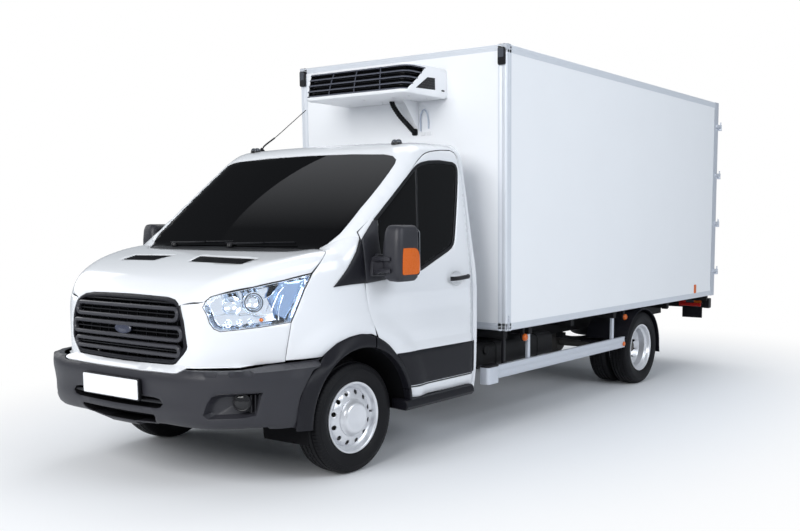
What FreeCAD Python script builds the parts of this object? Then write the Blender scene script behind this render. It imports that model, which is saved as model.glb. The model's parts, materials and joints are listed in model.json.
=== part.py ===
"""Refrigerated box truck on a twin-rear-wheel van chassis, as separate named solids.

Units are millimetres. The model is written with its origin on the ground under the middle of the front
axle: X to the truck's left, Y to the rear, Z up. The export moves it so that the origin is on the ground
under the middle of the overall length. Pieces that move are separate solids:
  front wheels on steered knuckles, twin rear wheels, cab doors, bonnet, and the two rear doors of the box.
"""
import FreeCAD
import Part
import math
import os

V = FreeCAD.Vector
OUT = "parts"

# ---------------------------------------------------------------- driving sizes
WHEELBASE = 3954.0
FRONT_OVERHANG = 1023.0          # front axle to the bumper's nose
CAB_REAR = 1240.0                # front axle to the cab's rear wall
CAB_HALF_WIDTH = 1032.0
GAP = 6.0                        # shut line between panels
PANEL = 25.0                     # bonnet, wings and front panel
WALL = 55.0                      # cab wall, pillars, roof
DOOR_THICK = 90.0
GLASS = 8.0
FLOOR_Z = 476.0                  # lower edge of the doors
SILL_Z = 400.0                   # lower edge of the sills
CAB_FLOOR = 660.0                # underside of the cab's floor, over the chassis rails
FLOOR_THICK = 45.0

TYRE_R = 346.0
TYRE_WIDTH = 190.0
RIM_R = 213.0
RIM_WALL = 9.0
RIM_WIDTH = 156.0
RIM_LIP = 8.0                    # height of the rim's flange over its bead seat
TRACK_FRONT = 1732.0
TRACK_REAR = 1634.0              # between the middles of the twins
TWIN_SPACING = 222.0             # middle of one twin tyre to the other
KINGPIN_X = 838.0
STUDS = 5
TOW_X = -200.0                   # towing-eye socket beside the hitch bolts
HITCH_X = 200.0
HITCH_Z = 60.0
HITCH_MID = 512.0
HITCH_HOLE_R = 6.75
TOW_BORE_R = 9.0
TOW_SOCKET_R = 22.0
TOW_LENGTH = 82.0                # bore length, through the socket and the rear plate
VENTS = 12                       # round holes in a wheel disc

BOX_FRONT = 1560.0
BOX_LENGTH = 4180.0
BOX_HALF_WIDTH = 1040.0
BOX_BOTTOM = 735.0
BOX_HEIGHT = 2085.0
BOX_WALL = 60.0
BOX_ROOF = 80.0
BOX_FLOOR = 95.0
TRIM_WIDTH = 75.0
SKIN_INSET = 4.0                 # panels sit this much inside the edge profiles
REAR_POST = 45.0
REAR_DOOR = 70.0
COOLER_WIDTH = 1000.0
COOLER_DEPTH = 500.0
SLATS = 4                        # louvres of the cooling unit
HINGE_OUT = 20.0                 # rear hinge pins stand this far outside the box's corner
PIN_R = 7.0
EYE_WALL = 6.0
RUNNING = 0.06                   # radial clearance of a shaft in its bearing
SEAT = 0.3                       # air left where a curved piece sits on another
HINGE_SLOT = 14.0                # gap behind the bonnet

SPARE_SHIFT = 40.0               # spare wheel's middle behind the middle of its room
SPRING_FRONT = 624.0             # rear axle to the spring's front end
SPRING_BACK = 686.0
SPRING_HANGER = 60.0
GUARD_INSET = 20.0               # side guard inside the box's side
GUARD_CLEAR = 28.0               # side guard's end to the rear tyre
GUARD_POST = 195.0               # its last post in front of its end
FIRST_POST_Y = 1940.0
MUDGUARD_INSET = 9.0
HINGE_FIRST = 260.0              # lowest rear hinge over the box's underside
HINGE_LAST = 265.0               # highest rear hinge under the box's top
COOLER_DROP = 96.0               # cooling unit's top below the box's top
TANK_INSET = 140.0
RAIL_X = 435.0                   # middle of each chassis rail
RAIL_WIDTH = 60.0
RAIL_HEIGHT = 140.0
RAIL_BOTTOM = 515.0
RAIL_WALL = 6.0

# ---------------------------------------------------------------- worked-out places
BOX_REAR = BOX_FRONT + BOX_LENGTH
BOX_TOP = BOX_BOTTOM + BOX_HEIGHT
REAR_END = BOX_REAR + HINGE_OUT + PIN_R + EYE_WALL
Y_MIDDLE = (REAR_END - FRONT_OVERHANG) / 2
SPARE_Y = (WHEELBASE + TYRE_R + BOX_REAR) / 2 + SPARE_SHIFT
GUARD_X = BOX_HALF_WIDTH - GUARD_INSET
GUARD_END = WHEELBASE - TYRE_R - GUARD_CLEAR
HINGE_STEP = (BOX_HEIGHT - HINGE_FIRST - HINGE_LAST) / 3
AXLE_Z = TYRE_R
FRONT_WHEEL_X = TRACK_FRONT / 2
REAR_TWIN_X = TRACK_REAR / 2
RAIL_TOP = RAIL_BOTTOM + RAIL_HEIGHT
ARCH_R = 436.0                   # wheel-arch opening in wings, doors and bumper
ARCH_MOULD_R = 520.0             # outer edge of the black arch moulding
MOULD_PROUD = 14.0
BUMPER_TOP = 742.0
CLADDING_TOP = 712.0


# ---------------------------------------------------------------- helpers
def to3d(plane, a, b):
    """A point of a side (y, z), front (x, z) or plan (x, y) outline in space."""
    return {"side": V(0, a, b), "front": V(a, 0, b), "plan": V(a, b, 0)}[plane]


NORMAL = {"side": V(1, 0, 0), "front": V(0, 1, 0), "plan": V(0, 0, 1)}


def outline(plane, points):
    """Closed wire. A point (a, b) is a corner; (a, b, "via") is the middle of an arc to the next corner."""
    edges = []
    count = len(points)
    here = points[0]
    i = 1
    while i <= count:
        nxt = points[i % count]
        if len(nxt) == 3:
            end = points[(i + 1) % count]
            edges.append(Part.Arc(to3d(plane, *here[:2]), to3d(plane, *nxt[:2]),
                                  to3d(plane, *end[:2])).toShape())
            here = end
            i += 2
        else:
            edges.append(Part.LineSegment(to3d(plane, *here[:2]), to3d(plane, *nxt[:2])).toShape())
            here = nxt
            i += 1
    return Part.Wire(edges)


def prism(plane, points, low, high, inset=0.0):
    """The outline, made smaller by inset, extruded along its plane's normal from low to high."""
    wire = outline(plane, points)
    if inset:
        wire = wire.makeOffset2D(-inset, 0)
    face = Part.Face(wire)
    face.translate(NORMAL[plane] * low)
    return face.extrude(NORMAL[plane] * (high - low))


def box(x, y, z):
    """Box between two corners given as (low, high) pairs."""
    return Part.makeBox(x[1] - x[0], y[1] - y[0], z[1] - z[0], V(x[0], y[0], z[0]))


def rod(start, end, radius):
    """Round bar between two points."""
    a, b = V(*start), V(*end)
    return Part.makeCylinder(radius, (b - a).Length, a, b - a)


def disc(x, y, z, radius, width):
    """Cylinder along X, centred on x."""
    return Part.makeCylinder(radius, width, V(x - width / 2, y, z), V(1, 0, 0))


def fuse(shapes):
    """One shape from several that touch or overlap."""
    first, rest = shapes[0], shapes[1:]
    return first.multiFuse(rest).removeSplitter() if rest else first


def mirrored(shape):
    """The same piece on the truck's other side."""
    return shape.mirror(V(0, 0, 0), V(1, 0, 0))


def pair(shape):
    """A piece and its mirror image, as one compound."""
    return Part.makeCompound([shape, mirrored(shape)])


def biggest(shape):
    """The largest solid, leaving out slivers that a cut may shed."""
    return max(shape.Solids, key=lambda s: s.Volume)


def export(name, shape):
    """Moves the piece into the row frame and writes it."""
    done = shape.copy()
    done.translate(V(0, -Y_MIDDLE, 0))
    solids = done.Solids
    assert solids and all(s.isValid() and s.Volume > 0 for s in solids), name
    out = solids[0] if len(solids) == 1 else Part.makeCompound(solids)
    out.exportStep(os.path.join(OUT, name + ".step"))
    print(name, len(solids), round(sum(s.Volume for s in solids) / 1e6, 2), "litres")


# ---------------------------------------------------------------- cab outlines
NOSE = -FRONT_OVERHANG
SCREEN_BASE = (-110.0, 1385.0)
SCREEN_TOP = (600.0, 2012.0)
ROOF_Z = 2128.0
BONNET_FRONT = (-872.0, 1122.0)
CAB_SIDE = [
    (-950, 338), (-1012, 430), (NOSE, 560), (-1010, 680), (-985, 712), (-958, BUMPER_TOP), (-950, 960),
    BONNET_FRONT, (-778, 1226, "via"), (-560, 1306), (-330, 1360, "via"), SCREEN_BASE,
    (262, 1722, "via"), SCREEN_TOP, (770, 2100, "via"), (1000, ROOF_Z), (CAB_REAR, 2122), (CAB_REAR, 338),
]
HALF_FRONT = [
    (1000, 338), (1022, FLOOR_Z), (CAB_HALF_WIDTH, 720), (CAB_HALF_WIDTH, 1150), (1018, 1240),
    (905, 1960), (868, 2062, "via"), (760, 2100),
]
HALF_PLAN = [(560, -985), (868, -822, "via"), (1000, -500), (CAB_HALF_WIDTH, -240), (CAB_HALF_WIDTH, 1140),
             (1012, CAB_REAR)]
# above the bumper the plan sweeps back further, which leaves the bumper's top as a shelf
HALF_SWEPT = [(420, -946), (600, -890, "via"), (700, -790), (800, -640, "via"), (880, -480),
              (945, -320, "via"), (1000, -150), (1024, -10, "via"), (CAB_HALF_WIDTH, 120),
              (CAB_HALF_WIDTH, 1140), (1012, CAB_REAR)]


def flipped(points):
    """The outline's other half, in reverse order."""
    return [(-p[0],) + tuple(p[1:]) for p in reversed(points)]


CAB_FRONT = HALF_FRONT + [(0, 2134, "via")] + flipped(HALF_FRONT)
CAB_PLAN = flipped(HALF_PLAN) + [(0, NOSE, "via")] + HALF_PLAN
SWEPT_PLAN = flipped(HALF_SWEPT) + [(0, -962, "via")] + HALF_SWEPT


def cab_solid(inset):
    """The cab's outer form, or one lying inset inside it: where its three outlines all hold."""
    far = 3000
    side = prism("side", CAB_SIDE, -far, far, inset)
    front = prism("front", CAB_FRONT, -far, far, inset)
    form = side.common(front)
    low = form.common(prism("plan", CAB_PLAN, 0, BUMPER_TOP - inset, inset))
    high = form.common(prism("plan", SWEPT_PLAN, BUMPER_TOP - inset, far, inset))
    return low.fuse(high)


BONNET_LINE = [(-1100, 1132), (-850, 1132), (-350, 1264), (-150, 1352)]
BONNET_REAR = SCREEN_BASE[0] - 14
HINGE_PIN = (BONNET_REAR - 2, 1370.0)
HINGE_PIN_R = 4.0
LUG_X = (811.0, 829.0)
LAMP_BACK = [(-348, 1262), (-505, 975)]      # slanted rear end of the headlamp, side view
WING_FRONT = -505.0
DOOR_OUTLINE = [
    (205, 712), (150, 840, "via"), (52, 1184), (56, 1486), (702, 1950), (800, 2000, "via"), (981, 2034),
    (1120, 2044), (1158, 2030, "via"), (1168, 1996), (1168, FLOOR_Z), (405, FLOOR_Z),
    (405, 590, "via"), (300, 712),
]
WINDOW_OUTLINE = [
    (209, 1206), (600, 1240), (914, 1359), (968, 1388, "via"), (993, 1432), (1116, 1890),
    (1114, 1930, "via"),
    (1086, 1944), (939, 1950), (737, 1926), (645, 1886), (209, 1556),
]
HINGE_Y = 8.0
HINGE_X = 1008.0
DOOR_HINGES = [(940.0, 124.0), (1144.0, 74.0)]     # height, and how far back the arm reaches into the door
DOOR_PIN_R = 5.0
SWING_R = 1154.8                 # the door's rear edge, rounded about its hinge so that it clears the pillar
GRILLE = [(-392, 1125), (-424, 1098, "via"), (-446, 1060), (-548, 868), (-462, 758), (462, 758), (548, 868),
          (446, 1060), (424, 1098, "via"), (392, 1125)]
LAMP_FRONT = [(690, 935), (636, 985, "via"), (636, 1050), (648, 1098, "via"), (690, 1120), (1100, 1300),
              (1100, 968)]
SCREEN_HALF_BASE = 870.0
SCREEN_HALF_TOP = 790.0


def between(plane, points, low, high, shape):
    """The part of shape inside an extruded outline."""
    return shape.common(prism(plane, points, low, high))


# ---------------------------------------------------------------- cab
def make_cab():
    far = 3000
    outer = cab_solid(0)
    thin = cab_solid(PANEL)
    wall = cab_solid(WALL)
    deep = cab_solid(DOOR_THICK)
    arch = disc(0, 0, AXLE_Z, ARCH_R, 2 * far)
    skin = outer.cut(thin)

    bonnet_zone = BONNET_LINE + [(BONNET_REAR, 1372), (BONNET_REAR, 1500), (-1100, 1500)]
    bonnet = between("side", bonnet_zone, -far, far, skin)
    notch = box((LUG_X[0] - GAP, LUG_X[1] + GAP), (HINGE_PIN[0] - 15, 0), (1300, 1500))
    bore = rod((LUG_X[0] - 40, *HINGE_PIN), (LUG_X[0], *HINGE_PIN), HINGE_PIN_R + RUNNING)
    bonnet = bonnet.cut(fuse([notch, bore])).cut(mirrored(fuse([notch, bore])))
    export("bonnet", biggest(bonnet))

    lower = [(p[0], p[1] - GAP) for p in BONNET_LINE]
    lamp_zone = prism("front", LAMP_FRONT, -1100, -300).common(
        prism("side", [(-1100, 900), LAMP_BACK[1], LAMP_BACK[0], (-1100, 1300)], -far, far))
    lamp_zone = lamp_zone.cut(prism("side", lower + [(-150, 1500), (-1100, 1500)], -far, far))
    lamp_hole = fuse([lamp_zone, mirrored(lamp_zone)])

    bumper_zone = [(-1100, 300), (-1100, BUMPER_TOP - GAP), (-958, BUMPER_TOP - GAP),
                   (WING_FRONT, 764 - GAP),
                   (-420, 764 - GAP), (-420, 300)]
    bumper = between("side", bumper_zone, -far, far, skin)
    lip = box((-980, 980), (-1100, -420), (300, 338 + PANEL)).common(outer)
    bumper = fuse([bumper, lip])
    intake = box((-330, 330), (-1100, -900), (398, 486))
    fog_pocket = prism("front", [(640, 500), (640, 560), (700, 612), (905, 622), (905, 500)], -1100, -600)
    bumper = bumper.cut(arch).cut(intake).cut(fog_pocket).cut(mirrored(fog_pocket))
    horn = box((RAIL_X - 30, RAIL_X + 30), (-1000, -880), (540, 620)).common(outer)
    fog_plate = box((730, 1000), (-800, -780), (480, 700)).common(outer)
    bumper = fuse([bumper, horn, mirrored(horn), fog_plate, mirrored(fog_plate)])
    export("bumper", biggest(bumper))

    grille_hole = prism("front", GRILLE, -1100, -700)
    front_zone = [(-1100, BUMPER_TOP + 1), (-958, BUMPER_TOP + 1), (WING_FRONT, 764), (WING_FRONT, 980),
                  (-350, 1264)]
    front_zone += [(-850, 1132 - GAP), (-1100, 1132 - GAP)]
    panel = between("side", front_zone, -far, far, skin).cut(lamp_hole).cut(grille_hole)
    post = fuse([box((570, 600), (-858, -815), (RAIL_TOP, 1080)),
                 box((570, 600), (-1100, -840), (BUMPER_TOP + 4, 1080)).common(outer)])
    bar = box((-600, 600), (-858, -815), (RAIL_TOP, RAIL_TOP + 45))
    export("front_panel", biggest(fuse([biggest(panel), post, mirrored(post), bar])))

    frame = prism("front", GRILLE, -1100, -700, 1.0)
    opening = prism("front", GRILLE, -1100, -700, 26.0)
    grille_skin = outer.cut(cab_solid(45))
    rim = grille_skin.common(frame.cut(opening))
    bars = [box((-560, 560), (-1100, -700), (z, z + 26)) for z in range(800, 1110, 47)]
    posts = [box((x - 7, x + 7), (-1100, -700), (762, 1128)) for x in (-230, 0, 230)]
    slats = outer.cut(cab_solid(32)).common(frame).common(fuse(bars + posts))
    export("grille", biggest(fuse([rim, slats])))

    lamp = lamp_zone.common(outer.cut(deep))
    lamp = biggest(lamp.cut(cab_solid(60)))
    fog = disc(0, 0, 0, 44, 40)
    fog.rotate(V(0, 0, 0), V(0, 0, 1), 90)
    fog.translate(V(800, -842, 556))
    fog_mount = box((742, 858), (-822, -800), (500, 612))
    fog = fuse([fog, fog_mount])
    export("front_lamps", Part.makeCompound([lamp, mirrored(lamp), fog, mirrored(fog)]))

    wing_zone = [(WING_FRONT + GAP, 764), (WING_FRONT + GAP, 975), (-342, 1258), (-150, 1352 - GAP),
                 (46, 1440),
                 (46, 1184), (144, 840, "via"), (199, 712), (60, 712), (60, 400), (-420 + GAP, 400),
                 (-420 + GAP, 764)]
    side_only = fuse([box((600, 1100), (-600, BONNET_REAR), (300, 1500)),
                      box((880, 1100), (-600, 400), (300, 1500))])
    wing = between("side", wing_zone, -far, far, skin).common(side_only).cut(arch)
    slots = fuse([box((985, 1060), (HINGE_Y - 14, 140), (z - 12, z + 12)) for z, reach in DOOR_HINGES]
                 + [box((980, 1009), (HINGE_Y - 34, HINGE_Y + 14), (z - 32, z + 32))
                    for z, reach in DOOR_HINGES]
                 + [rod((HINGE_X, HINGE_Y, z - 32), (HINGE_X, HINGE_Y, z + 32), 12)
                    for z, reach in DOOR_HINGES])
    export("wings", pair(biggest(wing.cut(lamp_hole).cut(slots))))

    # cab shell: roof, pillars, rear wall, floor, sills and bulkhead
    zone = [(BONNET_REAR + HINGE_SLOT, 1366), (BONNET_REAR + HINGE_SLOT, 1600), (500, 2300), (1400, 2300),
            (1400, SILL_Z), (405, SILL_Z), (405, FLOOR_Z), (-60, FLOOR_Z), (-60, 1366)]
    shell = between("side", zone, -far, far, outer.cut(wall))
    floor = box((-930, 930), (-60, CAB_REAR - 5), (CAB_FLOOR, CAB_FLOOR + FLOOR_THICK))
    riser = box((885, 930), (60, CAB_REAR - 5), (SILL_Z, CAB_FLOOR + FLOOR_THICK))
    sill = box((885, 1100), (405, CAB_REAR - 5), (SILL_Z, FLOOR_Z - GAP)).common(outer)
    bulkhead = box((-1100, 1100), (-60, -5), (CAB_FLOOR, 1366)).common(cab_solid(PANEL + SEAT))
    tunnel = box((-885, 885), (-200, CAB_REAR + 10), (300, CAB_FLOOR))
    shell = fuse([shell.cut(tunnel), floor.common(outer), riser, mirrored(riser), sill, mirrored(sill)])
    wheelhouse = fuse([disc(s * 760, 0, AXLE_Z, ARCH_R + 30, 600) for s in (1, -1)])
    door_hole = prism("side", DOOR_OUTLINE, 700, far)
    shell = shell.cut(door_hole).cut(mirrored(door_hole))
    wing_side = prism("side", wing_zone, 880 - GAP, far, -GAP)
    shell = shell.cut(wing_side).cut(mirrored(wing_side))
    shell = fuse([shell, bulkhead]).cut(wheelhouse)
    run = SCREEN_TOP[0] - SCREEN_BASE[0]
    rise = SCREEN_TOP[1] - SCREEN_BASE[1]
    slope = math.hypot(run, rise)
    up = V(0, run / slope, rise / slope)
    base = V(0, *SCREEN_BASE)

    def screen_outline(margin):
        """Windscreen outline on its own sloping plane, margin inside the glass edge."""
        low, high = 48 + margin, slope - 28 - margin
        at = [(-SCREEN_HALF_BASE + margin, low), (SCREEN_HALF_BASE - margin, low),
              (SCREEN_HALF_TOP - margin, high), (-SCREEN_HALF_TOP + margin, high)]
        return [base + up * v + V(u, 0, 0) for u, v in at]

    out = V(0, -up.z, up.y)
    hole = Part.Face(Part.makePolygon(screen_outline(6) + [screen_outline(6)[0]]))
    hole.translate(out * 120)
    hole = hole.extrude(out * -320)
    shell = shell.cut(hole)
    lug = fuse([rod((LUG_X[0], *HINGE_PIN), (LUG_X[1], *HINGE_PIN), 9),
                box(LUG_X, (HINGE_PIN[0], -55), (1352, 1368)),
                rod((LUG_X[0] - 36, *HINGE_PIN), (LUG_X[0] + 2, *HINGE_PIN), HINGE_PIN_R)])
    ears = []
    for z, reach in DOOR_HINGES:
        ears.append(rod((HINGE_X, HINGE_Y, z - 26), (HINGE_X, HINGE_Y, z + 26), DOOR_PIN_R))
        ears += [box((985, HINGE_X), (-26, HINGE_Y + 3), (low, low + 10)) for low in (z - 26, z + 16)]
    ears = fuse(ears)
    shell = fuse([shell, lug, mirrored(lug), ears, mirrored(ears)])
    export("cab_shell", biggest(shell))
    pane = Part.Face(Part.makePolygon(screen_outline(7) + [screen_outline(7)[0]]))
    pane.translate(out * 120)
    pane = pane.extrude(out * -320)
    pane = pane.common(cab_solid(6).cut(cab_solid(6 + GLASS)))
    export("windscreen", biggest(pane))

    # doors
    door_zone = prism("side", DOOR_OUTLINE, 700, far, GAP)
    window_hole = prism("side", WINDOW_OUTLINE, 700, far)
    door = outer.cut(deep).common(door_zone).cut(window_hole).cut(arch)
    inside_panel = box((880, 935), (200, 1120), (600, 1180))
    door = fuse([biggest(door), inside_panel.common(door_zone).cut(cab_solid(0).cut(deep)).common(outer)])
    glass = prism("side", WINDOW_OUTLINE, 700, far, -4)
    glass = biggest(cab_solid(38).cut(cab_solid(38 + GLASS)).common(glass))
    swing = Part.makeCylinder(SWING_R, far, V(HINGE_X, HINGE_Y, 0))
    top_corner = prism("side", [(1085, 2100), (1200, 2100), (1200, 1940), (1168, 1955)], 600, far)
    door = biggest(door.cut(glass).common(swing).cut(top_corner))
    arms = [box((HINGE_X - 12, HINGE_X - 4), (HINGE_Y, reach + 14), (z - 6, z + 6))
            for z, reach in DOOR_HINGES]
    eyes = [rod((HINGE_X, HINGE_Y, z - 8), (HINGE_X, HINGE_Y, z + 8), 8) for z, reach in DOOR_HINGES]
    pins = [rod((HINGE_X, HINGE_Y, z - 9), (HINGE_X, HINGE_Y, z + 9), DOOR_PIN_R + RUNNING)
            for z, reach in DOOR_HINGES]
    door = biggest(fuse([door] + arms + eyes).cut(fuse(pins)))
    trim = door_trim(door_zone, arch)
    for side, flip in (("left", False), ("right", True)):
        for name, shape in ((f"door_{side}", door), (f"door_glass_{side}", glass),
                            (f"door_trim_{side}", trim)):
            export(name, mirrored(shape) if flip else shape)
    mouldings(arch)
    return outer


def door_trim(door_zone, arch):
    """Black plastic on a door: lower cladding, mirror on its sail, and the pull handle."""
    skin = cab_solid(-SEAT)
    proud = cab_solid(-MOULD_PROUD).cut(skin)
    zone = prism("side", [(-600, FLOOR_Z), (-600, CLADDING_TOP), (1300, CLADDING_TOP), (1300, FLOOR_Z)], 700,
                 3000)
    ring = disc(0, 0, AXLE_Z, ARCH_MOULD_R, 6000)
    cladding = biggest(proud.common(fuse([zone, ring])).common(door_zone).cut(arch))
    sail = prism("side", [(60, 1196), (250, 1200), (230, 1500), (196, 1545), (66, 1440)], 700, 3000)
    sail = proud.common(sail)
    arm = fuse([box((985, 1150), (95, 235), (1236, 1262)), box((985, 1150), (105, 225), (1300, 1330)),
                box((985, 1060), (80, 245), (1205, 1345))])
    head = prism("front", [(1118, 1196), (1100, 1240, "via"), (1098, 1300), (1104, 1420, "via"),
                           (1130, 1500),
                           (1150, 1522, "via"), (1178, 1526), (1222, 1524), (1236, 1500, "via"),
                           (1240, 1460),
                           (1240, 1250), (1228, 1206, "via"), (1190, 1188)], 96, 262)
    head_front = prism("side", [(96, 1300), (96, 1230), (150, 1180), (262, 1180), (262, 1530), (150, 1530),
                                (104, 1440)], 1000, 1300)
    mirror = biggest(fuse([sail, arm.cut(skin), head.common(head_front)]))
    pull = fuse([rod((1052, 900, 1166), (1052, 1050, 1172), 13),
                 rod((1026, 905, 1166), (1052, 905, 1166), 11),
                 rod((1026, 1045, 1172), (1052, 1045, 1172), 11)]).cut(skin)
    return Part.makeCompound([cladding, mirror, biggest(pull)])


def mouldings(arch):
    """Black plastic fixed to the cab: arch mouldings, sail on the wing, wheel-arch liners and side steps."""
    skin = cab_solid(-SEAT)
    proud = cab_solid(-MOULD_PROUD).cut(skin)
    ring = disc(0, 0, AXLE_Z, ARCH_MOULD_R, 6000).cut(arch)
    zone = prism("side", [(-640, 430), (-640, 900), (100, 900), (60, 860), (118, 840), (188, 720),
                          (188, 600),
                          (-300, 600)], 700, 3000)
    moulding = biggest(proud.common(ring).common(zone))
    sail = prism("side", [(-240, 1172), (38, 1184), (38, 1422)], 700, 3000)
    sail = biggest(proud.common(sail))
    liner = disc(800, 0, AXLE_Z, ARCH_R + 30 - SEAT, 400).cut(disc(800, 0, AXLE_Z, ARCH_R + 4, 420))
    liner = liner.cut(box((0, 2000), (-700, 700), (-300, 430))).cut(box((925, 2000), (-10, 700), (0, 900)))
    liner = biggest(liner.common(cab_solid(PANEL + 2)))
    step = prism("front", [(905, 332), (905, SILL_Z), (1014, SILL_Z), (1038, 378, "via"), (1042, 348),
                           (1020, 326)],
                 398, 1150)
    export("cab_mouldings", Part.makeCompound([f(s) for s in (moulding, sail, liner, step)
                                               for f in (lambda a: a, mirrored)]))


def make_interior():
    """Seats, dashboard with its wheel, and the engine."""
    seats = []
    # name, middle x, width
    for middle, width in ((470.0, 500.0), (-370.0, 900.0)):
        x = (middle - width / 2, middle + width / 2)
        base = box((x[0] + 30, x[1] - 30), (560, 980), (CAB_FLOOR + FLOOR_THICK, 760))
        cushion = prism("side", [(500, 790), (500, 860), (540, 890, "via"), (600, 895), (1000, 862),
                                 (1010, 760),
                                 (520, 760)], x[0], x[1])
        back = prism("side", [(960, 862), (1010, 862), (1085, 1440), (1070, 1500), (1030, 1500),
                              (1000, 1440),
                              (915, 880)], x[0], x[1])
        heads = [box((c - 130, c + 130), (1030, 1100), (1500, 1660)) for c in
                 ([middle] if width < 600 else [middle - 215, middle + 215])]
        seats.append(fuse([base, cushion, back] + heads))
    export("seats", Part.makeCompound(seats))
    dash = prism("side", [(-5, 1010), (-5, 1330), (50, 1368, "via"), (140, 1376), (330, 1330),
                          (370, 1280, "via"),
                          (380, 1200), (350, 1050), (300, 960), (180, 930), (120, 960)], -920, 920)
    dash = dash.common(cab_solid(WALL + DOOR_THICK - 40))
    lower = box((-180, 180), (60, 300), (CAB_FLOOR + FLOOR_THICK, 960))
    column = rod((470, 280, 1120), (470, 470, 1215), 42)
    wheel = Part.makeTorus(195, 15, V(470, 485, 1222), V(0, 0.894, 0.447))
    boss = rod((470, 455, 1207), (470, 500, 1230), 62)
    spokes = [rod((470, 482, 1221), (470 + 190 * math.cos(a), 485 - 190 * math.sin(a) * 0.447,
                                     1222 + 190 * math.sin(a) * 0.894), 14) for a in
                                     (0, math.pi, -math.pi / 2)]
    export("dashboard", biggest(fuse([dash, lower, column, wheel, boss] + spokes)))
    block = box((-260, 260), (-640, -110), (560, 1120))
    export("engine", fuse([block, box((-430, 430), (-420, -330), (RAIL_TOP, RAIL_TOP + 45))]))


# ---------------------------------------------------------------- wheels
def revolved(points, x):
    """Turns an outline of (offset along X, radius) points about the axle and moves it to x."""
    wire = outline("plan", points)
    solid = Part.Face(wire).revolve(V(0, 0, 0), V(1, 0, 0), 360)
    solid.translate(V(x, 0, AXLE_Z))
    return solid


def tyre(x, y):
    w, r = TYRE_WIDTH / 2, TYRE_R
    seat = RIM_R + 0.5
    bead = RIM_WIDTH / 2 - 7
    points = [(-bead + 10, seat), (-bead, seat + 4), (-bead, seat + 11), (-w, 285, "via"), (-w + 14, r - 14),
              (-w + 24, r - 2), (0, r, "via"), (w - 24, r - 2), (w - 14, r - 14), (w, 285, "via"),
              (bead, seat + 11), (bead, seat + 4), (bead - 10, seat)]
    shape = revolved(points, x)
    shape.translate(V(0, y, 0))
    return shape


def rim(x, y, outward, dish):
    """Steel wheel: a barrel and a disc whose middle is pushed towards outward by dish."""
    w, r, t = RIM_WIDTH / 2, RIM_R, RIM_WALL
    well = r - 22
    barrel = [(-w - 2, r + RIM_LIP), (-w + 6, r + RIM_LIP), (-w + 8, r - 1), (-w + 34, r - 1),
              (-w + 46, well),
              (w - 56, well), (w - 42, r - 1), (w - 8, r - 1), (w - 6, r + RIM_LIP), (w + 2, r + RIM_LIP),
              (w + 2, r - 8), (w - 36, r - 10), (w - 52, well - t), (-w + 42, well - t), (-w + 30, r - 10),
              (-w - 2, r - 10)]
    root = 20.0
    face = [(root, well - t + 4), (root + 12, well - t + 4), (dish + 12, 118), (dish + 12, 40), (dish, 40),
            (dish, 112)]
    if outward < 0:
        barrel = [(-a, b) for a, b in barrel]
        face = [(-a, b) for a, b in face]
    shape = fuse([revolved(barrel, x), revolved(face, x)])
    holes = []
    for k in range(VENTS):
        a = 2 * math.pi * k / VENTS
        holes.append(rod((x - 120, 154 * math.cos(a), AXLE_Z + 154 * math.sin(a)),
                         (x + 120, 154 * math.cos(a), AXLE_Z + 154 * math.sin(a)), 14))
    shape = biggest(shape.cut(Part.makeCompound(holes)))
    shape.translate(V(0, y, 0))
    return shape


def make_wheels():
    front_dish = 46.0                # front discs bulge outwards, rear ones sit deep inside
    front_rim = rim(FRONT_WHEEL_X, 0, 1, front_dish)
    face_x = FRONT_WHEEL_X + front_dish
    hub_cap = fuse([disc(face_x + 27, 0, AXLE_Z, 82, 30), disc(face_x + 47, 0, AXLE_Z, 66, 12)])
    front_rim = biggest(fuse([front_rim, hub_cap, disc(face_x - 10, 0, AXLE_Z, 70, 24)]))
    front_tyre = tyre(FRONT_WHEEL_X, 0)
    outer_x = REAR_TWIN_X + TWIN_SPACING / 2
    inner_x = REAR_TWIN_X - TWIN_SPACING / 2
    half = TWIN_SPACING / 2 - 6
    outer_rim = rim(outer_x, WHEELBASE, -1, half)
    inner_rim = rim(inner_x, WHEELBASE, 1, half)
    hub = disc(REAR_TWIN_X, WHEELBASE, AXLE_Z, 60, 150)
    plate = disc(REAR_TWIN_X, WHEELBASE, AXLE_Z, 112, 16)
    cap = disc(REAR_TWIN_X + 62, WHEELBASE, AXLE_Z, 42, 60)
    nuts = []
    for k in range(STUDS + 1):
        a = 2 * math.pi * k / (STUDS + 1)
        nuts.append(disc(REAR_TWIN_X + 22, WHEELBASE + 86 * math.cos(a), AXLE_Z + 86 * math.sin(a), 14, 40))
    rear_rim = biggest(fuse([outer_rim, inner_rim, hub, plate, cap] + nuts))
    rear_tyre = Part.makeCompound([tyre(outer_x, WHEELBASE), tyre(inner_x, WHEELBASE)])
    knuckle = fuse([disc(806, 0, AXLE_Z, 60, 40), rod((KINGPIN_X - 66, 0, 250), (KINGPIN_X - 66, 0, 440),
                                                      26),
                    disc(846, 0, AXLE_Z, 140, 22), disc(860, 0, AXLE_Z, 34, 100),
                    box((700, 800), (95, 130), (332, 362)), box((750, 796), (20, 130), (332, 362))])
    for side, flip in (("left", False), ("right", True)):
        for name, shape in ((f"knuckle_{side}", knuckle),
                            (f"rim_front_{side}", front_rim.cut(knuckle_clear())),
                            (f"tyre_front_{side}", front_tyre),
                            (f"rims_rear_{side}", rear_rim.cut(axle_clear())),
                            (f"tyres_rear_{side}", rear_tyre)):
            export(name, mirrored(shape) if flip else shape)


def knuckle_clear():
    """Room in the front wheel for the knuckle's spindle and brake disc."""
    return fuse([disc(870, 0, AXLE_Z, 34 + RUNNING, 84), disc(846, 0, AXLE_Z, 146, 30)])


def axle_clear():
    """Room in the rear hub for the axle tube's end."""
    return disc(REAR_TWIN_X - 75, WHEELBASE, AXLE_Z, 38 + RUNNING, 112)


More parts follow.
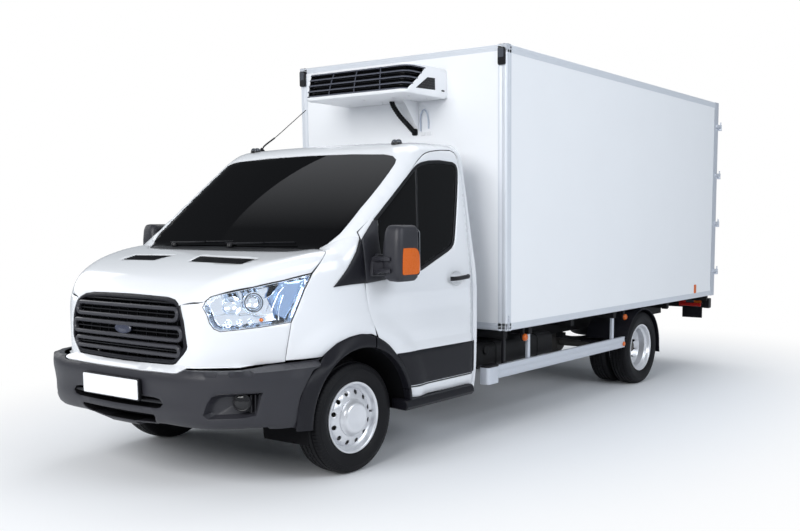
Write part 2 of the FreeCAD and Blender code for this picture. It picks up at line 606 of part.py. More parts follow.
# ---------------------------------------------------------------- chassis
def make_chassis():
    z = (RAIL_BOTTOM, RAIL_TOP)
    length = (-880, BOX_REAR - 120)
    rail = box((RAIL_X - RAIL_WIDTH / 2, RAIL_X + RAIL_WIDTH / 2), length, z)
    rail = rail.cut(box((0, RAIL_X + RAIL_WIDTH / 2 - RAIL_WALL), (-2000, 9000),
                        (RAIL_BOTTOM + RAIL_WALL, RAIL_TOP - RAIL_WALL)))
    wheel_room = disc(720, 0, AXLE_Z, ARCH_R - 20, 330)
    rail = rail.cut(wheel_room)
    export("frame_rails", pair(biggest(rail)))
    inner = RAIL_X + RAIL_WIDTH / 2 - RAIL_WALL
    members = [box((-inner, inner), (y, y + 70), (RAIL_BOTTOM + 20, RAIL_TOP - 20))
               for y in (-870, 700, 1500, 2300, WHEELBASE - 854, WHEELBASE + 646, SPARE_Y - 35,
                         BOX_REAR - 200)]
    export("frame_crossmembers", Part.makeCompound(members))

    runner = box((RAIL_X - 25, RAIL_X + 25), (BOX_FRONT, BOX_REAR - 76), (RAIL_TOP, BOX_BOTTOM))
    arms = [box((RAIL_X, BOX_HALF_WIDTH - 40), (y, y + 50), (BOX_BOTTOM - 60, BOX_BOTTOM))
            for y in (BOX_FRONT + 20, FIRST_POST_Y - 5, 2600, GUARD_END - GUARD_POST - 5, WHEELBASE + 606,
                      BOX_REAR - 126)]
    bearers = biggest(fuse([runner] + arms))
    export("body_bearers", pair(bearers))

    subframe = fuse([box((-430, 430), (-90, 90), (330, 400)),
                     box((-430, -330), (-420, 200), (400, RAIL_BOTTOM)),
                     box((330, 430), (-420, 200), (400, RAIL_BOTTOM))])
    wishbone = prism("plan", [(430, -150), (430, 150), (700, 40), (700, -40)], 285, 315)
    tower = fuse([box((465, 500), (-75, 75), (RAIL_BOTTOM, 770)), box((465, 650), (-75, 75), (742, 770)),
                  rod((600, 0, 300), (590, 0, 750), 42)])
    upper = fuse([prism("plan", [(465, -75), (465, 75), (KINGPIN_X - 50, 30), (KINGPIN_X - 50, -30)], 441,
                        465)])
    link = rod((KINGPIN_X - 66, 0, 222), (KINGPIN_X - 66, 0, 249.5), 24)
    arm = fuse([wishbone, box((400, 470), (-160, 160), (285, 400)),
                box((680, KINGPIN_X - 50), (-30, 30), (285, 315)),
                link]).cut(rod((KINGPIN_X - 66, 0, 249.5), (KINGPIN_X - 66, 0, 500), 32))
    arm = fuse([arm, prism("plan", [(690, -40), (690, 40), (KINGPIN_X - 50, 30), (KINGPIN_X - 50, -30)], 222,
                           246),
                box((660, 720), (-40, 40), (222, 315))])
    side = fuse([arm, tower, upper])
    export("front_subframe", biggest(fuse([subframe, side, mirrored(side)])))

    tube_end = REAR_TWIN_X - 22
    axle = fuse([disc(0, WHEELBASE, AXLE_Z, 44, 2 * (REAR_TWIN_X - 135)),
                 disc(0, WHEELBASE, AXLE_Z, 38, 2 * tube_end),
                 Part.makeSphere(150, V(0, WHEELBASE, AXLE_Z)).common(
                     box((-120, 120), (WHEELBASE - 150, WHEELBASE + 150), (150, 520))),
                 rod((0, 900, 520), (0, WHEELBASE - 100, AXLE_Z + 10), 45)])
    export("rear_axle", biggest(axle))
    first, last = WHEELBASE - SPRING_FRONT, WHEELBASE + SPRING_BACK
    spring = prism("side", [(first, 470), (WHEELBASE, AXLE_Z + 44 + SEAT, "via"), (last, 470), (last, 498),
                            (WHEELBASE, AXLE_Z + 84, "via"), (first, 498)], 435, 505)
    hangers = [box((435, 505), (y, y + SPRING_HANGER), (470, RAIL_BOTTOM))
               for y in (first - 10, last - SPRING_HANGER + 10)]
    export("leaf_springs", pair(biggest(fuse([spring] + hangers))))
    pipe = [(-250, -200, 559.7), (-250, -200, 440), (-250, 1300, 440), (-310, 1500, 430), (-310, 1700, 430)]
    runs = [rod(a, b, 30) for a, b in zip(pipe, pipe[1:])]
    joints = [Part.makeSphere(30, V(*p)) for p in pipe[1:-1]]
    silencer = rod((-310, 1700, 430), (-310, 2300, 430), 95)
    bend, turn = (-310, WHEELBASE - 954, 430), (-600, WHEELBASE - 754, 420)
    tail = rod((-310, 2300, 430), bend, 28)
    out_pipe = [rod(bend, turn, 28), Part.makeSphere(28, V(*bend)),
                rod(turn, (160 - BOX_HALF_WIDTH, WHEELBASE - 714, 400), 28), Part.makeSphere(28, V(*turn))]
    hangers = [box((-325, -295), (y, y + 25), (430, RAIL_BOTTOM + 20)) for y in (1520, 2320)]
    export("exhaust", biggest(fuse(runs + joints + [silencer, tail] + out_pipe + hangers)))
    tank = box((495, BOX_HALF_WIDTH - TANK_INSET), (1380, 2500), (372, 640))
    tank = tank.makeFillet(40, tank.Edges)
    straps = [box((RAIL_X + RAIL_WIDTH / 2, 520), (y, y + 60), (540, 600)) for y in (1560, 2260)]
    tank = fuse([tank] + straps)
    export("fuel_tank", tank)
    spare_tyre = tyre(0, 0)
    spare_rim = rim(0, 0, 1, 40)
    spare = Part.makeCompound([spare_tyre, spare_rim])
    spare.rotate(V(0, 0, AXLE_Z), V(0, 1, 0), 90)
    spare.translate(V(0, SPARE_Y, 405 - AXLE_Z))
    carrier = fuse([rod((0, SPARE_Y, 365), (0, SPARE_Y, RAIL_BOTTOM + 20), 20),
                    rod((0, SPARE_Y, 365), (0, SPARE_Y, 377), 62)])
    export("spare_wheel", Part.makeCompound(spare.Solids + [carrier]))


# ---------------------------------------------------------------- refrigerated body
def make_box_body():
    half, wall = BOX_HALF_WIDTH, BOX_WALL
    skin = half - SKIN_INSET
    y0, y1 = BOX_FRONT + SKIN_INSET, BOX_REAR - REAR_DOOR - 30
    z0, z1 = BOX_BOTTOM + SKIN_INSET, BOX_TOP - SKIN_INSET
    export("box_floor", box((-skin, skin), (y0, y1), (z0, z0 + BOX_FLOOR)))
    export("box_roof", box((-skin, skin), (y0, y1), (z1 - BOX_ROOF, z1)))
    walls = (z0 + BOX_FLOOR, z1 - BOX_ROOF)
    export("box_front_wall", box((-skin, skin), (y0, y0 + BOX_ROOF), walls))
    export("box_side_walls", pair(box((skin - wall, skin), (y0 + BOX_ROOF, y1), walls)))

    w, t, g = TRIM_WIDTH, SKIN_INSET, 1.0
    front, low, high = BOX_FRONT, BOX_BOTTOM, BOX_TOP
    post_z = (low + w + g, high - w - g)
    post = fuse([box((half - w, half), (front, front + t), post_z),
                 box((half - t, half), (front, front + w), post_z)])
    run = (front + w + g, y1)
    bottom = fuse([box((half - t, half), run, (low, low + w)), box((half - w, half), run, (low, low + t))])
    top = fuse([box((half - t, half), run, (high - w, high)), box((half - w, half), run, (high - t, high))])
    corner_low = box((half - w, half), (front, front + w), (low, low + w)).cut(
        box((half - w - 1, half - t), (front + t, front + w + 1), (low + t, low + w + 1)))
    corner_high = box((half - w, half), (front, front + w), (high - w, high)).cut(
        box((half - w - 1, half - t), (front + t, front + w + 1), (high - w - 1, high - t)))
    cross = (-half + w + g, half - w - g)
    front_top = fuse([box(cross, (front, front + t), (high - w, high)),
                      box(cross, (front, front + w), (high - t, high))])
    front_low = fuse([box(cross, (front, front + t), (low, low + w)),
                      box(cross, (front, front + w), (low, low + t))])
    sides = [post, bottom, top, corner_low, corner_high]
    export("box_edge_trims", Part.makeCompound(sides + [mirrored(s) for s in sides] + [front_top,
                                                                                       front_low]))

    # rear portal frame
    back = (y1, BOX_REAR)
    posts = [box((s * half if s < 0 else half - REAR_POST, s * half + REAR_POST if s < 0 else half), back,
                 (low, high)) for s in (1, -1)]
    lintel = box((-half, half), back, (high - 90, high))
    sill = box((-half, half), back, (low, low + 70))
    frame = fuse(posts + [lintel, sill])
    for s in (1, -1):
        for z in HINGE_HEIGHTS:
            frame = fuse([frame, hinge_ear(s, z)])
    export("rear_frame", biggest(frame))

    door_low, door_high = low + 70 + GAP, high - 90 - GAP
    door = box((6, half - REAR_POST - GAP), (BOX_REAR - REAR_DOOR, BOX_REAR), (door_low, door_high))
    gear = rear_gear(door_low, door_high)
    for side, flip in (("left", False), ("right", True)):
        export(f"rear_door_{side}", mirrored(door) if flip else door)
        export(f"rear_gear_{side}", mirrored(gear) if flip else gear)


HINGE_HEIGHTS = [BOX_BOTTOM + HINGE_FIRST + k * HINGE_STEP for k in range(4)]
EAR_HEIGHT = 30.0


def hinge_ear(side, z):
    """Fixed half of a rear hinge: an ear on the frame's post that carries the pin."""
    x, y = BOX_HALF_WIDTH + HINGE_OUT, BOX_REAR + HINGE_OUT
    ear = fuse([Part.makeCylinder(PIN_R + EYE_WALL, EAR_HEIGHT, V(x, y, z)),
                prism("plan", [(BOX_HALF_WIDTH - 4, BOX_REAR - 60), (x - 4, BOX_REAR - 60), (x + 9, y - 8),
                               (x - 10, y),
                               (BOX_HALF_WIDTH - 4, BOX_REAR - 8)], z, z + EAR_HEIGHT),
                Part.makeCylinder(PIN_R, 3 * EAR_HEIGHT, V(x, y, z - EAR_HEIGHT))])
    return ear if side > 0 else mirrored(ear)


def rear_gear(door_low, door_high):
    """Moving half of the hinges, with two lock rods and their handle, on one rear door."""
    x, y = BOX_HALF_WIDTH + HINGE_OUT, BOX_REAR + HINGE_OUT
    gap = 1.0
    pieces = []
    for z in HINGE_HEIGHTS:
        low, high = z - EAR_HEIGHT + gap, z - gap
        eye = Part.makeCylinder(PIN_R + EYE_WALL, high - low, V(x, y, low))
        plate = box((x - 330, x - 4), (BOX_REAR, BOX_REAR + 8), (low, high))
        pieces.append(fuse([eye, plate, box((x - 30, x - 2), (BOX_REAR, y), (low, high))]).cut(
            Part.makeCylinder(PIN_R + RUNNING, 60, V(x, y, low - 10))))
    bars = []
    for bar_x in (150, 640):
        bars.append(rod((bar_x, BOX_REAR + 13, door_low + 10), (bar_x, BOX_REAR + 13, door_high - 10), 10))
        for z in (door_low + 120, (door_low + door_high) / 2 + 200, door_high - 120):
            bars.append(box((bar_x - 35, bar_x + 35), (BOX_REAR, BOX_REAR + 14), (z - 30, z + 30)))
        bars.append(box((bar_x - 12, bar_x + 210), (BOX_REAR + 8, BOX_REAR + 18), (1250, 1285)))
        bars.append(box((bar_x + 180, bar_x + 230), (BOX_REAR, BOX_REAR + 18), (1225, 1310)))
    rods = [fuse(bars[i:i + 6]) for i in (0, 6)]
    return Part.makeCompound([s for shape in pieces + rods for s in shape.Solids])


def make_cooling():
    """Condenser unit over the cab, its duct, and the evaporator inside the box."""
    half, depth = COOLER_WIDTH / 2, COOLER_DEPTH
    back = BOX_FRONT + SKIN_INSET - SEAT
    high = BOX_TOP - COOLER_DROP
    top, nose = (back - 235, high - 6), (back - depth + 10, high - 224)
    profile = [(back, high - 232), (back, high), (back - 160, high), top, nose,
               (back - depth, high - 252, "via"), (back - depth + 30, high - 276)]
    housing = prism("side", profile, -half, half)
    corner = prism("plan", [(half - 60, back - depth - 20), (half - 14, back - depth + 24, "via"),
                            (half, back - depth + 70), (half + 50, back - depth - 20)], high - 320, high + 80)
    housing = housing.cut(corner).cut(mirrored(corner))
    tilt = -math.degrees(math.atan2(top[0] - nose[0], top[1] - nose[1]))
    run = math.hypot(top[0] - nose[0], top[1] - nose[1])
    wide, mouth = half - 68, (26.0, run - 24.0)

    def on_slope(shape):
        """Moves a shape made upright at the origin onto the sloping front."""
        shape.rotate(V(0, 0, 0), V(1, 0, 0), tilt)
        shape.translate(V(0, *nose))
        return shape

    recess = on_slope(box((-wide, wide), (-10, 30), mouth))
    housing = biggest(housing.cut(recess))
    export("cooler_housing", housing)
    rim = box((-wide, wide), (2, 30), mouth).cut(
        box((-wide + 14, wide - 14), (0, 40), (mouth[0] + 14, mouth[1] - 14)))
    pitch = (mouth[1] - mouth[0]) / SLATS
    levels = [mouth[0] + pitch * (k + 0.5) for k in range(SLATS)]
    slats = [box((-wide, wide), (6, 24), (v - 14, v + 14)) for v in levels]
    ribs = [box((x - 6, x + 6), (10, 30), mouth) for x in (-wide / 2, 0, wide / 2)]
    export("cooler_grille", biggest(on_slope(fuse([rim] + slats + ribs))))
    points = [(120, BOX_FRONT - 170, high - 262), (120, BOX_FRONT - 150, high - 324),
              (160, BOX_FRONT - 90, high - 394), (220, BOX_FRONT - 40, high - 462)]
    runs = [rod(a, b, 27) for a, b in zip(points, points[1:])] + [Part.makeSphere(27, V(*p))
                                                                  for p in points[1:]]
    boot = box((175, 265), (BOX_FRONT - 62, back), (high - 524, high - 434))
    export("cooler_duct", biggest(fuse(runs + [boot]).cut(housing)))
    inside = BOX_FRONT + SKIN_INSET + BOX_ROOF
    ceiling = BOX_TOP - SKIN_INSET - BOX_ROOF
    export("evaporator", prism("side", [(inside, ceiling - 260), (inside, ceiling), (inside + 560, ceiling),
                                        (inside + 560, ceiling - 120),
                                        (inside + 300, ceiling - 260)], -560, 560))


def make_outside():
    """Side guards, rear mudguards, rear underrun bar and lamps."""
    x1 = GUARD_X
    rail = box((x1 - 28, x1), (1290, GUARD_END), (392, 488))
    nose = prism("plan", [(x1 - 28, 1300), (x1, 1300), (x1, 1262), (x1 - 12, 1250, "via"), (x1 - 28, 1246),
                          (x1 - 150, 1246), (x1 - 150, 1274), (x1 - 28, 1274)], 372, 488)
    posts = [box((x1 - 60, x1 - 28), (y, y + 40), (392, BOX_BOTTOM - 60))
             for y in (FIRST_POST_Y, GUARD_END - GUARD_POST)]
    strut = box((x1 - 60, x1 - 28), (1600, 1640), (392, BOX_BOTTOM - 60))
    export("side_guards", pair(fuse([rail, nose, strut] + posts)))

    guard_r = TYRE_R + 22
    inner_x = REAR_TWIN_X - (TWIN_SPACING + TYRE_WIDTH) / 2 - 8
    outer_x = BOX_HALF_WIDTH - MUDGUARD_INSET
    x_mid, width = (inner_x + outer_x) / 2, outer_x - inner_x
    ring = disc(x_mid, WHEELBASE, AXLE_Z, guard_r + 6, width).cut(
        disc(x_mid, WHEELBASE, AXLE_Z, guard_r, width + 20))
    lip = disc(outer_x - 5, WHEELBASE, AXLE_Z, guard_r + 18, 10).cut(
        disc(outer_x - 5, WHEELBASE, AXLE_Z, guard_r, 20))
    open_low = box((0, 2000), (WHEELBASE - 1500, WHEELBASE + 1500), (-100, 330))
    open_front = box((0, 2000), (WHEELBASE - 1500, WHEELBASE - 352), (-100, 500))
    roof_cut = box((0, 2000), (WHEELBASE - 1500, WHEELBASE + 1500), (BOX_BOTTOM - SEAT, 900))
    top = AXLE_Z + guard_r
    stay = box((RAIL_X + 25, inner_x + 30), (WHEELBASE - 20, WHEELBASE + 20), (top - 8, top + 4))
    guard = fuse([ring, lip]).cut(open_low).cut(open_front)
    export("rear_mudguards", pair(biggest(fuse([guard, stay]).cut(roof_cut))))

    bar = box((-960, 960), (BOX_REAR - 75, BOX_REAR - 25), (593, 704))
    drops = [box((s * 500 - 30, s * 500 + 30), (BOX_REAR - 110, BOX_REAR - 75), (560, BOX_BOTTOM - 60))
             for s in (1, -1)]
    plate = box((-260, 260), (BOX_REAR - 87, BOX_REAR - 75), (450, 650))
    for x in (-HITCH_X / 2, HITCH_X / 2):
        for z in (HITCH_MID - HITCH_Z / 2, HITCH_MID + HITCH_Z / 2):
            plate = plate.cut(rod((x, BOX_REAR - 200, z), (x, BOX_REAR, z), HITCH_HOLE_R))
    plate_back = BOX_REAR - 87
    socket = rod((TOW_X, plate_back, HITCH_MID), (TOW_X, plate_back + TOW_LENGTH, HITCH_MID), TOW_SOCKET_R)
    bore = rod((TOW_X, plate_back - 20, HITCH_MID), (TOW_X, plate_back + 200, HITCH_MID), TOW_BORE_R)
    export("rear_bumper", biggest(fuse([bar, plate, socket] + drops).cut(bore)))
    cluster = box((640, 950), (BOX_REAR - 25, BOX_REAR - 2), (604, 692))
    markers = [fuse([rod((x1 - 78, y, 652), (x1 - 12, y, 652), 30),
                     box((x1 - 90, x1 - 62), (y - 24, y + 24),
                         (625, BOX_BOTTOM + SKIN_INSET))]) for y in (FIRST_POST_Y - 72, WHEELBASE - 344)]
    top = box((BOX_HALF_WIDTH - 62, BOX_HALF_WIDTH - 10), (BOX_FRONT - 14, BOX_FRONT - 0.3),
              (BOX_TOP - 150, BOX_TOP - 34))
    export("lamps", Part.makeCompound([f(s) for s in [cluster, top] + markers
                                       for f in (lambda a: a, mirrored)]))


def main():
    os.makedirs(OUT, exist_ok=True)
    make_cab()
    make_interior()
    make_wheels()
    make_chassis()
    make_box_body()
    make_cooling()
    make_outside()


main()
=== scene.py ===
# %% [markdown]
# A refrigerated box truck on a twin-rear-wheel van chassis. Its solids come from the CAD model as a fixed frame:
# this file dresses them with curved panels, lamps, louvres, tread and finishes. Everything is written in
# millimetres from the front axle, as a body engineer's drawing is, and one function moves it into the frame.

# %% Load the frame
import bmesh
import bpy
import json
import math
import numpy as np
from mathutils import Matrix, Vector
from mathutils.geometry import delaunay_2d_cdt


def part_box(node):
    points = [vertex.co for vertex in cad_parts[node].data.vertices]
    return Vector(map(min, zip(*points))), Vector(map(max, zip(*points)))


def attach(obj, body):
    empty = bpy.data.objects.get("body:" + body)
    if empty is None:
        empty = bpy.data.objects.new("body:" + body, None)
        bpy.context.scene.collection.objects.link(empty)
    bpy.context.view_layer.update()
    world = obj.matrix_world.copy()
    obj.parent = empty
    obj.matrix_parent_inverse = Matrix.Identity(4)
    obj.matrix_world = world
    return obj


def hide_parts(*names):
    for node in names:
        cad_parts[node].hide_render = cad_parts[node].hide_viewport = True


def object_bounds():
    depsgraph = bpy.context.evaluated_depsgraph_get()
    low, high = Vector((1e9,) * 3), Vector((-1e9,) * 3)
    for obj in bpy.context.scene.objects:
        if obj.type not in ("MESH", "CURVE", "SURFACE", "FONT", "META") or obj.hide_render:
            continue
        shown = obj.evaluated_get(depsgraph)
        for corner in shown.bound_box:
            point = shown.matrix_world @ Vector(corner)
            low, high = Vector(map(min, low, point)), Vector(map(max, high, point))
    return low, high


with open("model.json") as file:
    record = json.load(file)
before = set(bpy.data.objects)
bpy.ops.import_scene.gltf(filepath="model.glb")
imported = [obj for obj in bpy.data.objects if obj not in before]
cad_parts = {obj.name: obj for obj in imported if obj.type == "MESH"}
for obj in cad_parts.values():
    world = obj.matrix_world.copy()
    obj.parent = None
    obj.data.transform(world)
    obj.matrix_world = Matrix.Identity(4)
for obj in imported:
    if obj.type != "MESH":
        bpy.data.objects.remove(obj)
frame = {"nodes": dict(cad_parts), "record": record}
cad_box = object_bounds()
NOSE = 1023.0                                   # front axle to the bumper's nose, as in the solids
SHIFT = cad_box[0][1] * 1000 + NOSE             # from the front axle to the frame's origin
AXLE_Z, REAR_Y = 346.0, 3954.0                  # height of the axles, and the rear axle behind the front one
print("frame box", [round(c, 3) for corner in cad_box for c in corner])


def placed(points):
    """Millimetres from the front axle to metres in the frame."""
    return (np.asarray(points, float) + (0, SHIFT, 0)) / 1000


def node_box(name):
    """A CAD node's lowest and highest corners in millimetres from the front axle."""
    return tuple(np.array(c) * 1000 - (0, SHIFT, 0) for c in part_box(name))


# %% [markdown]
# Meshes are worked out as arrays of points. Small helpers carry an outline along a line, turn it about an
# axle, or cut a slab with softened edges, so that no piece is left with knife-sharp corners that catch no
# light. Every mesh ends with its faces turned outwards and its sharp edges marked by angle.

# %% Mesh helpers
def joined(parts):
    """Several (points, faces) as one."""
    points, faces, start = [], [], 0
    for p, f in parts:
        points.append(np.asarray(p, float))
        faces += [tuple(int(i) + start for i in face) for face in f]
        start += len(p)
    return np.vstack(points), faces


def flipped_x(part):
    """The mirror image on the other side of the truck."""
    p, f = part
    return np.asarray(p, float) * (-1, 1, 1), [tuple(reversed(face)) for face in f]


def both(part):
    """A part and its mirror image."""
    return joined([part, flipped_x(part)])


SIDES = (("left", lambda part: part), ("right", flipped_x))


def piece(name, part, material, body="chassis", stands_for=(), angle=38):
    """Makes one object from (points, faces), rides it on a body and hides the CAD nodes it stands for."""
    points, faces = part
    mesh = bpy.data.meshes.new(name)
    mesh.from_pydata(placed(points).tolist(), [], faces)
    mesh.validate()
    work = bmesh.new()
    work.from_mesh(mesh)
    bmesh.ops.recalc_face_normals(work, faces=work.faces)
    work.to_mesh(mesh)
    work.free()
    mesh.shade_smooth()
    mesh.set_sharp_from_angle(angle=math.radians(angle))
    mesh.materials.append(material)
    obj = bpy.data.objects.new(name, mesh)
    bpy.context.scene.collection.objects.link(obj)
    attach(obj, body)
    if stands_for:
        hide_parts(*stands_for)
    return obj


def grid(p, wrap_u=False, wrap_v=False, caps=False):
    """Faces over a grid of points (rows, columns, 3); wrap joins the last row or column to the first, and
    caps closes the first and last rows."""
    nu, nv = p.shape[:2]
    index = np.arange(nu * nv).reshape(nu, nv)
    i = index if wrap_u else index[:-1]
    j = np.roll(index, -1, axis=0) if wrap_u else index[1:]
    if wrap_v:
        quads = np.stack([i, j, np.roll(j, -1, 1), np.roll(i, -1, 1)], -1)
    else:
        quads = np.stack([i[:, :-1], j[:, :-1], j[:, 1:], i[:, 1:]], -1)
    faces = [tuple(q) for q in quads.reshape(-1, 4).tolist()]
    if caps:
        faces += [tuple(index[0].tolist()), tuple(index[-1][::-1].tolist())]
    return p.reshape(-1, 3), faces


print("faces of a closed strip of 4 by 5 points", len(grid(np.zeros((4, 5, 3)), wrap_v=True)[1]))

# %% [markdown]
# Most parts of a truck are turned, like wheels and lamps, or drawn out along a line, like rails and hoses. So a
# lathe and a sweep come next. Modifiers such as Screw or a bevelled curve would do the same, but arrays of
# points give exact places to measure from.

# %% Lathe and sweep
AXES = {"x": (1, 2, 0), "y": (0, 2, 1), "z": (0, 1, 2)}


def turns(count):
    """Angles that divide a full turn."""
    return np.linspace(0, 2 * np.pi, count, endpoint=False)


def hoop(centre, u, v, count):
    """Points round a centre: u times the cosine plus v times the sine of each angle."""
    t = turns(count)[:, None]
    return np.asarray(centre, float) + np.asarray(u, float) * np.cos(t) + np.asarray(v, float) * np.sin(t)


def round_axle(x, radius, angles, y=0.0):
    """Points at a radius round a wheel's axle: x across, and y for the axle's place."""
    return np.stack([x + 0 * angles, y + radius * np.cos(angles), AXLE_Z + radius * np.sin(angles)], -1)


def between(a, b, share):
    """a when share is 0, b when it is 1, and a straight blend in between."""
    return np.asarray(a, float) * (1 - share) + np.asarray(b, float) * share


def level(x, z):
    """(x, z) pairs for many x at one height z."""
    return np.column_stack([x, np.full(len(x), float(z))])


def lathe(profile, centre, axis="x", count=64, closed=True):
    """Turns (offset along the axle, radius) pairs about the axle. A closed profile makes a ring."""
    a, b, c = AXES[axis]
    pr = np.asarray(profile, float)
    t = turns(count)
    p = np.zeros((len(pr), count, 3))
    p[..., a] = pr[:, 1:] * np.cos(t)
    p[..., b] = pr[:, 1:] * np.sin(t)
    p[..., c] = pr[:, :1]
    return grid(p + np.asarray(centre, float), wrap_u=closed, wrap_v=True, caps=not closed)


def carried(profile, path, up=(0, 0, 1), closed=False):
    """Carries a closed (sideways, upwards) outline along a path, square to it, with caps at its ends."""
    path, pr = np.asarray(path, float), np.asarray(profile, float)
    t = np.roll(path, -1, 0) - np.roll(path, 1, 0) if closed else np.gradient(path, axis=0)
    t /= np.linalg.norm(t, axis=1, keepdims=True)
    side = np.cross(t, np.asarray(up, float))
    side /= np.linalg.norm(side, axis=1, keepdims=True)
    top = np.cross(side, t)
    p = path[:, None] + side[:, None] * pr[None, :, :1] + top[:, None] * pr[None, :, 1:]
    return grid(p, wrap_u=closed, wrap_v=True, caps=not closed)


def ring_of(radius, count=10):
    """Round outline."""
    t = turns(count)
    return radius * np.stack([np.cos(t), np.sin(t)], 1)


def smooth_path(points, per=8):
    """Catmull-Rom line through places in space."""
    p = np.asarray(points, float)
    q = np.vstack([2 * p[0] - p[1], p, 2 * p[-1] - p[-2]])
    t = (np.arange(per) / per)[None, :, None]
    a, b, c, d = (q[k:len(q) - 3 + k][:, None] for k in range(4))
    line = 0.5 * (2 * b + (c - a) * t + (2 * a - 5 * b + 4 * c - d) * t**2 + (3 * b - a - 3 * c + d) * t**3)
    return np.vstack([line.reshape(-1, 3), p[-1:]])


print("faces of a turned disc", len(lathe([(0, 1), (0, 9), (2, 9), (2, 1)], (0, 0, 0), closed=False)[1]))

# %% [markdown]
# Plates and blocks start from a flat outline. It is moved inwards by the width of the chamfer at both faces,
# which costs two more rows of points than a plain box and gives every rim a line of light.

# %% Outlines, slabs and boxes
def inset(poly, by):
    """Outline moved towards its left-hand side by a distance, corner by corner."""
    p = np.asarray(poly, float)
    before, after = p - np.roll(p, 1, 0), np.roll(p, -1, 0) - p
    before /= np.linalg.norm(before, axis=1, keepdims=True) + 1e-12
    after /= np.linalg.norm(after, axis=1, keepdims=True) + 1e-12
    n = np.stack([-(before[:, 1] + after[:, 1]), before[:, 0] + after[:, 0]], 1)
    n /= np.linalg.norm(n, axis=1, keepdims=True) + 1e-12
    lean = np.clip((n * np.stack([-before[:, 1], before[:, 0]], 1)).sum(1), 0.5, 1)
    return p + n * (by / lean)[:, None]


def area(poly):
    """Signed area of an outline, positive when it runs anticlockwise."""
    p = np.asarray(poly, float)
    q = np.roll(p, -1, 0)
    return 0.5 * float((p[:, 0] * q[:, 1] - p[:, 1] * q[:, 0]).sum())


def anticlockwise(poly):
    """The outline in the order that makes its area positive."""
    p = np.asarray(poly, float)
    return p if area(p) > 0 else p[::-1]


def slab(outline, axis, low, high, soft=3.0):
    """A plate of a given outline (its two coordinates in x, y, z order) between two places along an axis,
    with both rims chamfered by soft."""
    a, b, c = AXES[axis]
    o = anticlockwise(outline)
    small = inset(o, soft)
    rows = [(small, low), (o, low + soft), (o, high - soft), (small, high)]
    p = np.zeros((4, len(o), 3))
    for k, (line, at) in enumerate(rows):
        p[k, :, a], p[k, :, b], p[k, :, c] = line[:, 0], line[:, 1], at
    return grid(p, wrap_v=True, caps=True)


def rectangle(u, v):
    """Outline between two (low, high) pairs."""
    return np.array([(u[0], v[0]), (u[1], v[0]), (u[1], v[1]), (u[0], v[1])], float)


def crate(x, y, z, soft=3.0):
    """Box between (low, high) pairs with softened edges."""
    return slab(rectangle(x, y), "z", z[0], z[1], soft)


def round_box(x, y, radius, per=5):
    """Outline of a rectangle with round corners."""
    t = np.linspace(0, np.pi / 2, per)
    out = []
    for k, (cx, cy) in enumerate([(x[1] - radius, y[1] - radius), (x[0] + radius, y[1] - radius),
                                  (x[0] + radius, y[0] + radius), (x[1] - radius, y[0] + radius)]):
        a = t + k * np.pi / 2
        out.append(np.stack([cx + radius * np.cos(a), cy + radius * np.sin(a)], 1))
    return np.vstack(out)


print("area of a round-cornered square of 20 mm", round(area(round_box((0, 20), (0, 20), 4)), 1))

# %% [markdown]
# Finishes are built from a few shared node groups. Each reads Object coordinates, so the grain stays with
# its piece when a door swings, and puts out only a mask or a height. The shader itself, with its coat and
# its glass numbers, stays in the material where any exporter can read it.

# %% Shared effects
def group(name, inputs, outputs):
    """Empty shader group with named number sockets. Returns it, the sockets it is given and its last node."""
    g = bpy.data.node_groups.new(name, "ShaderNodeTree")
    for label, default in inputs:
        g.interface.new_socket(label, in_out="INPUT", socket_type="NodeSocketFloat").default_value = default
    for label in outputs:
        g.interface.new_socket(label, in_out="OUTPUT", socket_type="NodeSocketFloat")
    return g, g.nodes.new("NodeGroupInput").outputs, g.nodes.new("NodeGroupOutput")


def feed(tree, n, values):
    """Sets a node's inputs, by name or number: an output is linked, anything else becomes the plain value."""
    for key, value in values.items():
        if isinstance(value, bpy.types.NodeSocket):
            tree.links.new(value, n.inputs[key])
        else:
            n.inputs[key].default_value = value


def node(tree, kind, values=None, **settings):
    """New node with its settings and its inputs."""
    n = tree.nodes.new(kind)
    for key, value in settings.items():
        setattr(n, key, value)
    feed(tree, n, values or {})
    return n


def product(tree, a, b, clamp=False):
    """Output of a times b."""
    return node(tree, "ShaderNodeMath", {0: a, 1: b}, operation="MULTIPLY", use_clamp=clamp).outputs[0]


def ranged(tree, value, source=(0.0, 1.0), target=(0.0, 1.0), **settings):
    """Output that carries a value from one range over to another."""
    limits = {0: value, 1: source[0], 2: source[1], 3: target[0], 4: target[1]}
    return node(tree, "ShaderNodeMapRange", limits, **settings).outputs["Result"]


def mixed(tree, share, a, b):
    """Colour between a and b."""
    return node(tree, "ShaderNodeMix", {"Factor": share, "A": a, "B": b}, data_type="RGBA").outputs["Result"]


def own_place(tree):
    """Object coordinates."""
    return node(tree, "ShaderNodeTexCoord").outputs["Object"]


def grain_group():
    """Height of a moulded grain: one fractal noise of a given scale and roughness."""
    g, given, end = group("moulded_grain", [("Scale", 400.0), ("Roughness", 0.6)], ["Height"])
    noise = node(g, "ShaderNodeTexNoise", {"Vector": own_place(g), "Scale": given["Scale"],
                                           "Roughness": given["Roughness"]})
    feed(g, end, {"Height": noise.outputs["Fac"]})
    return g


